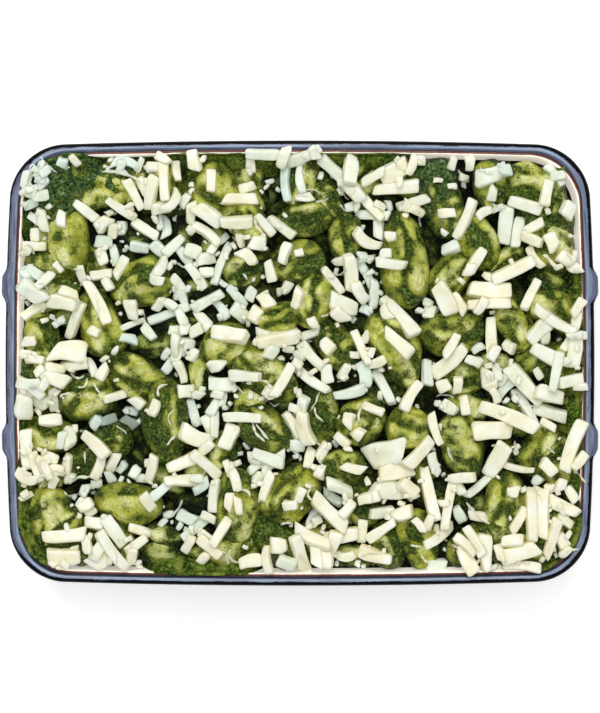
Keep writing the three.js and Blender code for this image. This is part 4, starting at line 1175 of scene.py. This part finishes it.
everything = [(row, sticks, stick_grid, 1) for row in STICKS]
everything += [(row, chunks, chunk_grid, 3) for row in CHUNKS]
heights = [float(height_at(np.array(row[0]), np.array(row[1]))) for row, *_ in everything]
for index in np.argsort(heights, kind="stable"):
    (x, y, length, width, turn), kind, grid, chops = everything[index]
    drop(kind, x, y, length, width, turn, grid, chops)

# Short bits caught along the wall and in the gaps.
BITS = 70
wall_path = outline(WALL_TOP_INSET + 2)
for number in range(BITS):
    if number % 3 == 0:
        x, y = wall_path[cheese_rng.integers(len(wall_path))] + cheese_rng.normal(scale=1.2, size=2)
    else:
        spots = np.column_stack([
            cheese_rng.uniform(14 - HALF_LENGTH, HALF_LENGTH - 14, 12),
            cheese_rng.uniform(14 - HALF_WIDTH, HALF_WIDTH - 14, 12),
        ])
        x, y = spots[np.argmin([surface[near(*spot, 2)].mean() for spot in spots])]
    width = cheese_rng.uniform(2.2, 4)
    drop(chunks, x, y, width * cheese_rng.uniform(1, 2), width, cheese_rng.uniform(0, 180), chunk_grid, 3)

# Crumbs fall round the larger pieces they broke off, and some roll into the gaps.
CRUMBS = 330
CRUMB_SCATTER = 5.5
for _ in range(CRUMBS):
    larger = everything[cheese_rng.integers(len(everything))][0]
    spots = np.array(larger[:2]) + cheese_rng.normal(scale=CRUMB_SCATTER, size=(4, 2))
    x, y = spots[np.argmin(height_at(*spots.T))]
    x = float(np.clip(x, 8 - HALF_LENGTH, HALF_LENGTH - 8))
    y = float(np.clip(y, 8 - HALF_WIDTH, HALF_WIDTH - 8))
    width = cheese_rng.uniform(0.9, 2.4)
    drop(crumbs, x, y, width * cheese_rng.uniform(1, 1.9), width, cheese_rng.uniform(0, 180), crumb_grid, 2)


# Thin curled shavings, which droop over whatever they lie on.
WISPS = 45
WISP_RINGS = 16
WISP_SIDES = 6
wisp_run = np.linspace(-0.5, 0.5, WISP_RINGS)
wisp_faces = []
for ring in range(WISP_RINGS - 1):
    for side in range(WISP_SIDES):
        after = (side + 1) % WISP_SIDES
        low, high = ring * WISP_SIDES, (ring + 1) * WISP_SIDES
        wisp_faces.append([low + side, low + after, high + after, high + side])
for end in (0, WISP_RINGS - 1):
    first = end * WISP_SIDES
    loop = [first + side for side in range(WISP_SIDES)]
    loop = loop[::-1] if end == 0 else loop
    wisp_faces += [[loop[0], loop[1], loop[2], loop[3]], [loop[0], loop[3], loop[4], loop[5]]]
wisp_faces = np.array(wisp_faces)


def wisp_shape(x, y, length, width, turn, curl, rng):
    """A shaving along a curled line that follows the surface below."""
    heading = math.radians(turn) + curl * wisp_run
    heading = heading + rng.uniform(-0.3, 0.3) * np.sin(wisp_run * rng.uniform(6, 12))
    step = length / (WISP_RINGS - 1)
    px = x + np.cumsum(np.cos(heading)) * step
    py = y + np.cumsum(np.sin(heading)) * step
    px, py = px - px.mean() + x, py - py.mean() + y
    below = height_at(px, py)
    average = np.array([below[max(0, ring - 2):ring + 3].mean() for ring in range(WISP_RINGS)])
    highest = np.array([below[max(0, ring - 1):ring + 2].max() for ring in range(WISP_RINGS)])
    pz = average * 0.5 + highest * 0.5
    thickness = 0.7 * width
    close = np.clip(1 - np.abs(2 * wisp_run) ** 6, 0.15, 1)
    close = close * (1 + 0.25 * np.sin(wisp_run * rng.uniform(8, 20)))
    angles = np.arange(WISP_SIDES) * 2 * math.pi / WISP_SIDES
    across = np.cos(angles) * (close * width / 2)[:, None]
    up = np.sin(angles) * (close * thickness / 2)[:, None]
    sx = px[:, None] - np.sin(heading)[:, None] * across
    sy = py[:, None] + np.cos(heading)[:, None] * across
    sz = pz[:, None] + up + thickness / 2
    return np.stack([sx, sy, sz], axis=2).reshape(-1, 3)


shavings = list(SHAVINGS)
for _ in range(WISPS):
    larger = everything[cheese_rng.integers(len(everything))][0]
    x, y = np.array(larger[:2]) + cheese_rng.normal(scale=8, size=2)
    x = float(np.clip(x, 12 - HALF_LENGTH, HALF_LENGTH - 12))
    y = float(np.clip(y, 12 - HALF_WIDTH, HALF_WIDTH - 12))
    length, width = cheese_rng.uniform(4, 10), cheese_rng.uniform(0.6, 1.1)
    shavings.append((x, y, length, width, cheese_rng.uniform(0, 360), cheese_rng.normal(scale=1.6)))
for x, y, length, width, turn, curl in shavings:
    shape = wisp_shape(x, y, length, width, turn, curl, cheese_rng)
    keep_clear(shape)
    sunk = (COOL_SHADE_WISPS_BELOW - shape[:, 2].mean()) / COOL_SHADE_SPAN
    depth = max(float(np.clip(sunk, 0, 0.8)), cool_shade_at(x, y))
    wisps.add(shape, wisp_faces, depth)

sticks.piece("cheese_sticks", cheese)
chunks.piece("cheese_chunks", cheese)
crumbs.piece("cheese_crumbs", cheese)
wisps.piece("cheese_wisps", cheese)

# ---- The studio ---------------------------------------------------------------------------------
# A plain white floor, one large soft light high up behind the tin's far side and a weak cool fill
# from all round, with the camera straight above.

FLOOR_REACH = 3.0
floor_mesh = bpy.data.meshes.new("floor")
corners = [(x * FLOOR_REACH, y * FLOOR_REACH, 0) for x, y in ((-1, -1), (1, -1), (1, 1), (-1, 1))]
floor_mesh.from_pydata(corners, [], [(0, 1, 2, 3)])
floor = bpy.data.objects.new("floor", floor_mesh)
bpy.context.scene.collection.objects.link(floor)
floor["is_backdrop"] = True
floor_material, floor_shader, _ = new_material("white_floor")
floor_shader.inputs["Base Color"].default_value = (0.97, 0.97, 0.97, 1)
floor_shader.inputs["Roughness"].default_value = 0.9
floor_shader.inputs["Emission Color"].default_value = (1, 1, 1, 1)
floor_shader.inputs["Emission Strength"].default_value = 0.42
floor_mesh.materials.append(floor_material)


def soft_light(name, place, size, power, colour):
    light = bpy.data.lights.new(name, "AREA")
    light.shape = "RECTANGLE"
    light.size, light.size_y = size
    light.energy = power
    light.color = colour
    lamp = bpy.data.objects.new(name, light)
    bpy.context.scene.collection.objects.link(lamp)
    lamp.location = place
    aim = -lamp.location.normalized()
    lamp.rotation_mode = "QUATERNION"
    lamp.rotation_quaternion = aim.to_track_quat("-Z", "Y")


soft_light("window", (-0.15, 0.75, 1.3), (0.9, 0.6), 11, (1.0, 0.98, 0.94))
soft_light("overhead", (0.05, -0.05, 1.6), (1.1, 1.1), 9, (0.98, 0.99, 0.98))

world = bpy.data.worlds.new("studio")
bpy.context.scene.world = world
world.use_nodes = True
world.node_tree.nodes["Background"].inputs["Color"].default_value = (0.95, 0.98, 0.96, 1)
world.node_tree.nodes["Background"].inputs["Strength"].default_value = 0.38
bpy.context.scene.view_settings.view_transform = "Standard"

# The camera looks straight down from a metre above the rim, with the tin 589/600 of the frame wide.
CAMERA_HEIGHT = 1.0
CAMERA_Y = 0.0028
FRAME_LONG = 0.302
camera_data = bpy.data.cameras.new("camera")
camera_data.sensor_width = 36
camera_data.lens = 36 * CAMERA_HEIGHT / FRAME_LONG
camera = bpy.data.objects.new("camera", camera_data)
bpy.context.scene.collection.objects.link(camera)
camera.location = (0, CAMERA_Y, CAMERA_HEIGHT + TIN_HEIGHT * MM)
bpy.context.scene.camera = camera

low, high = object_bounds()
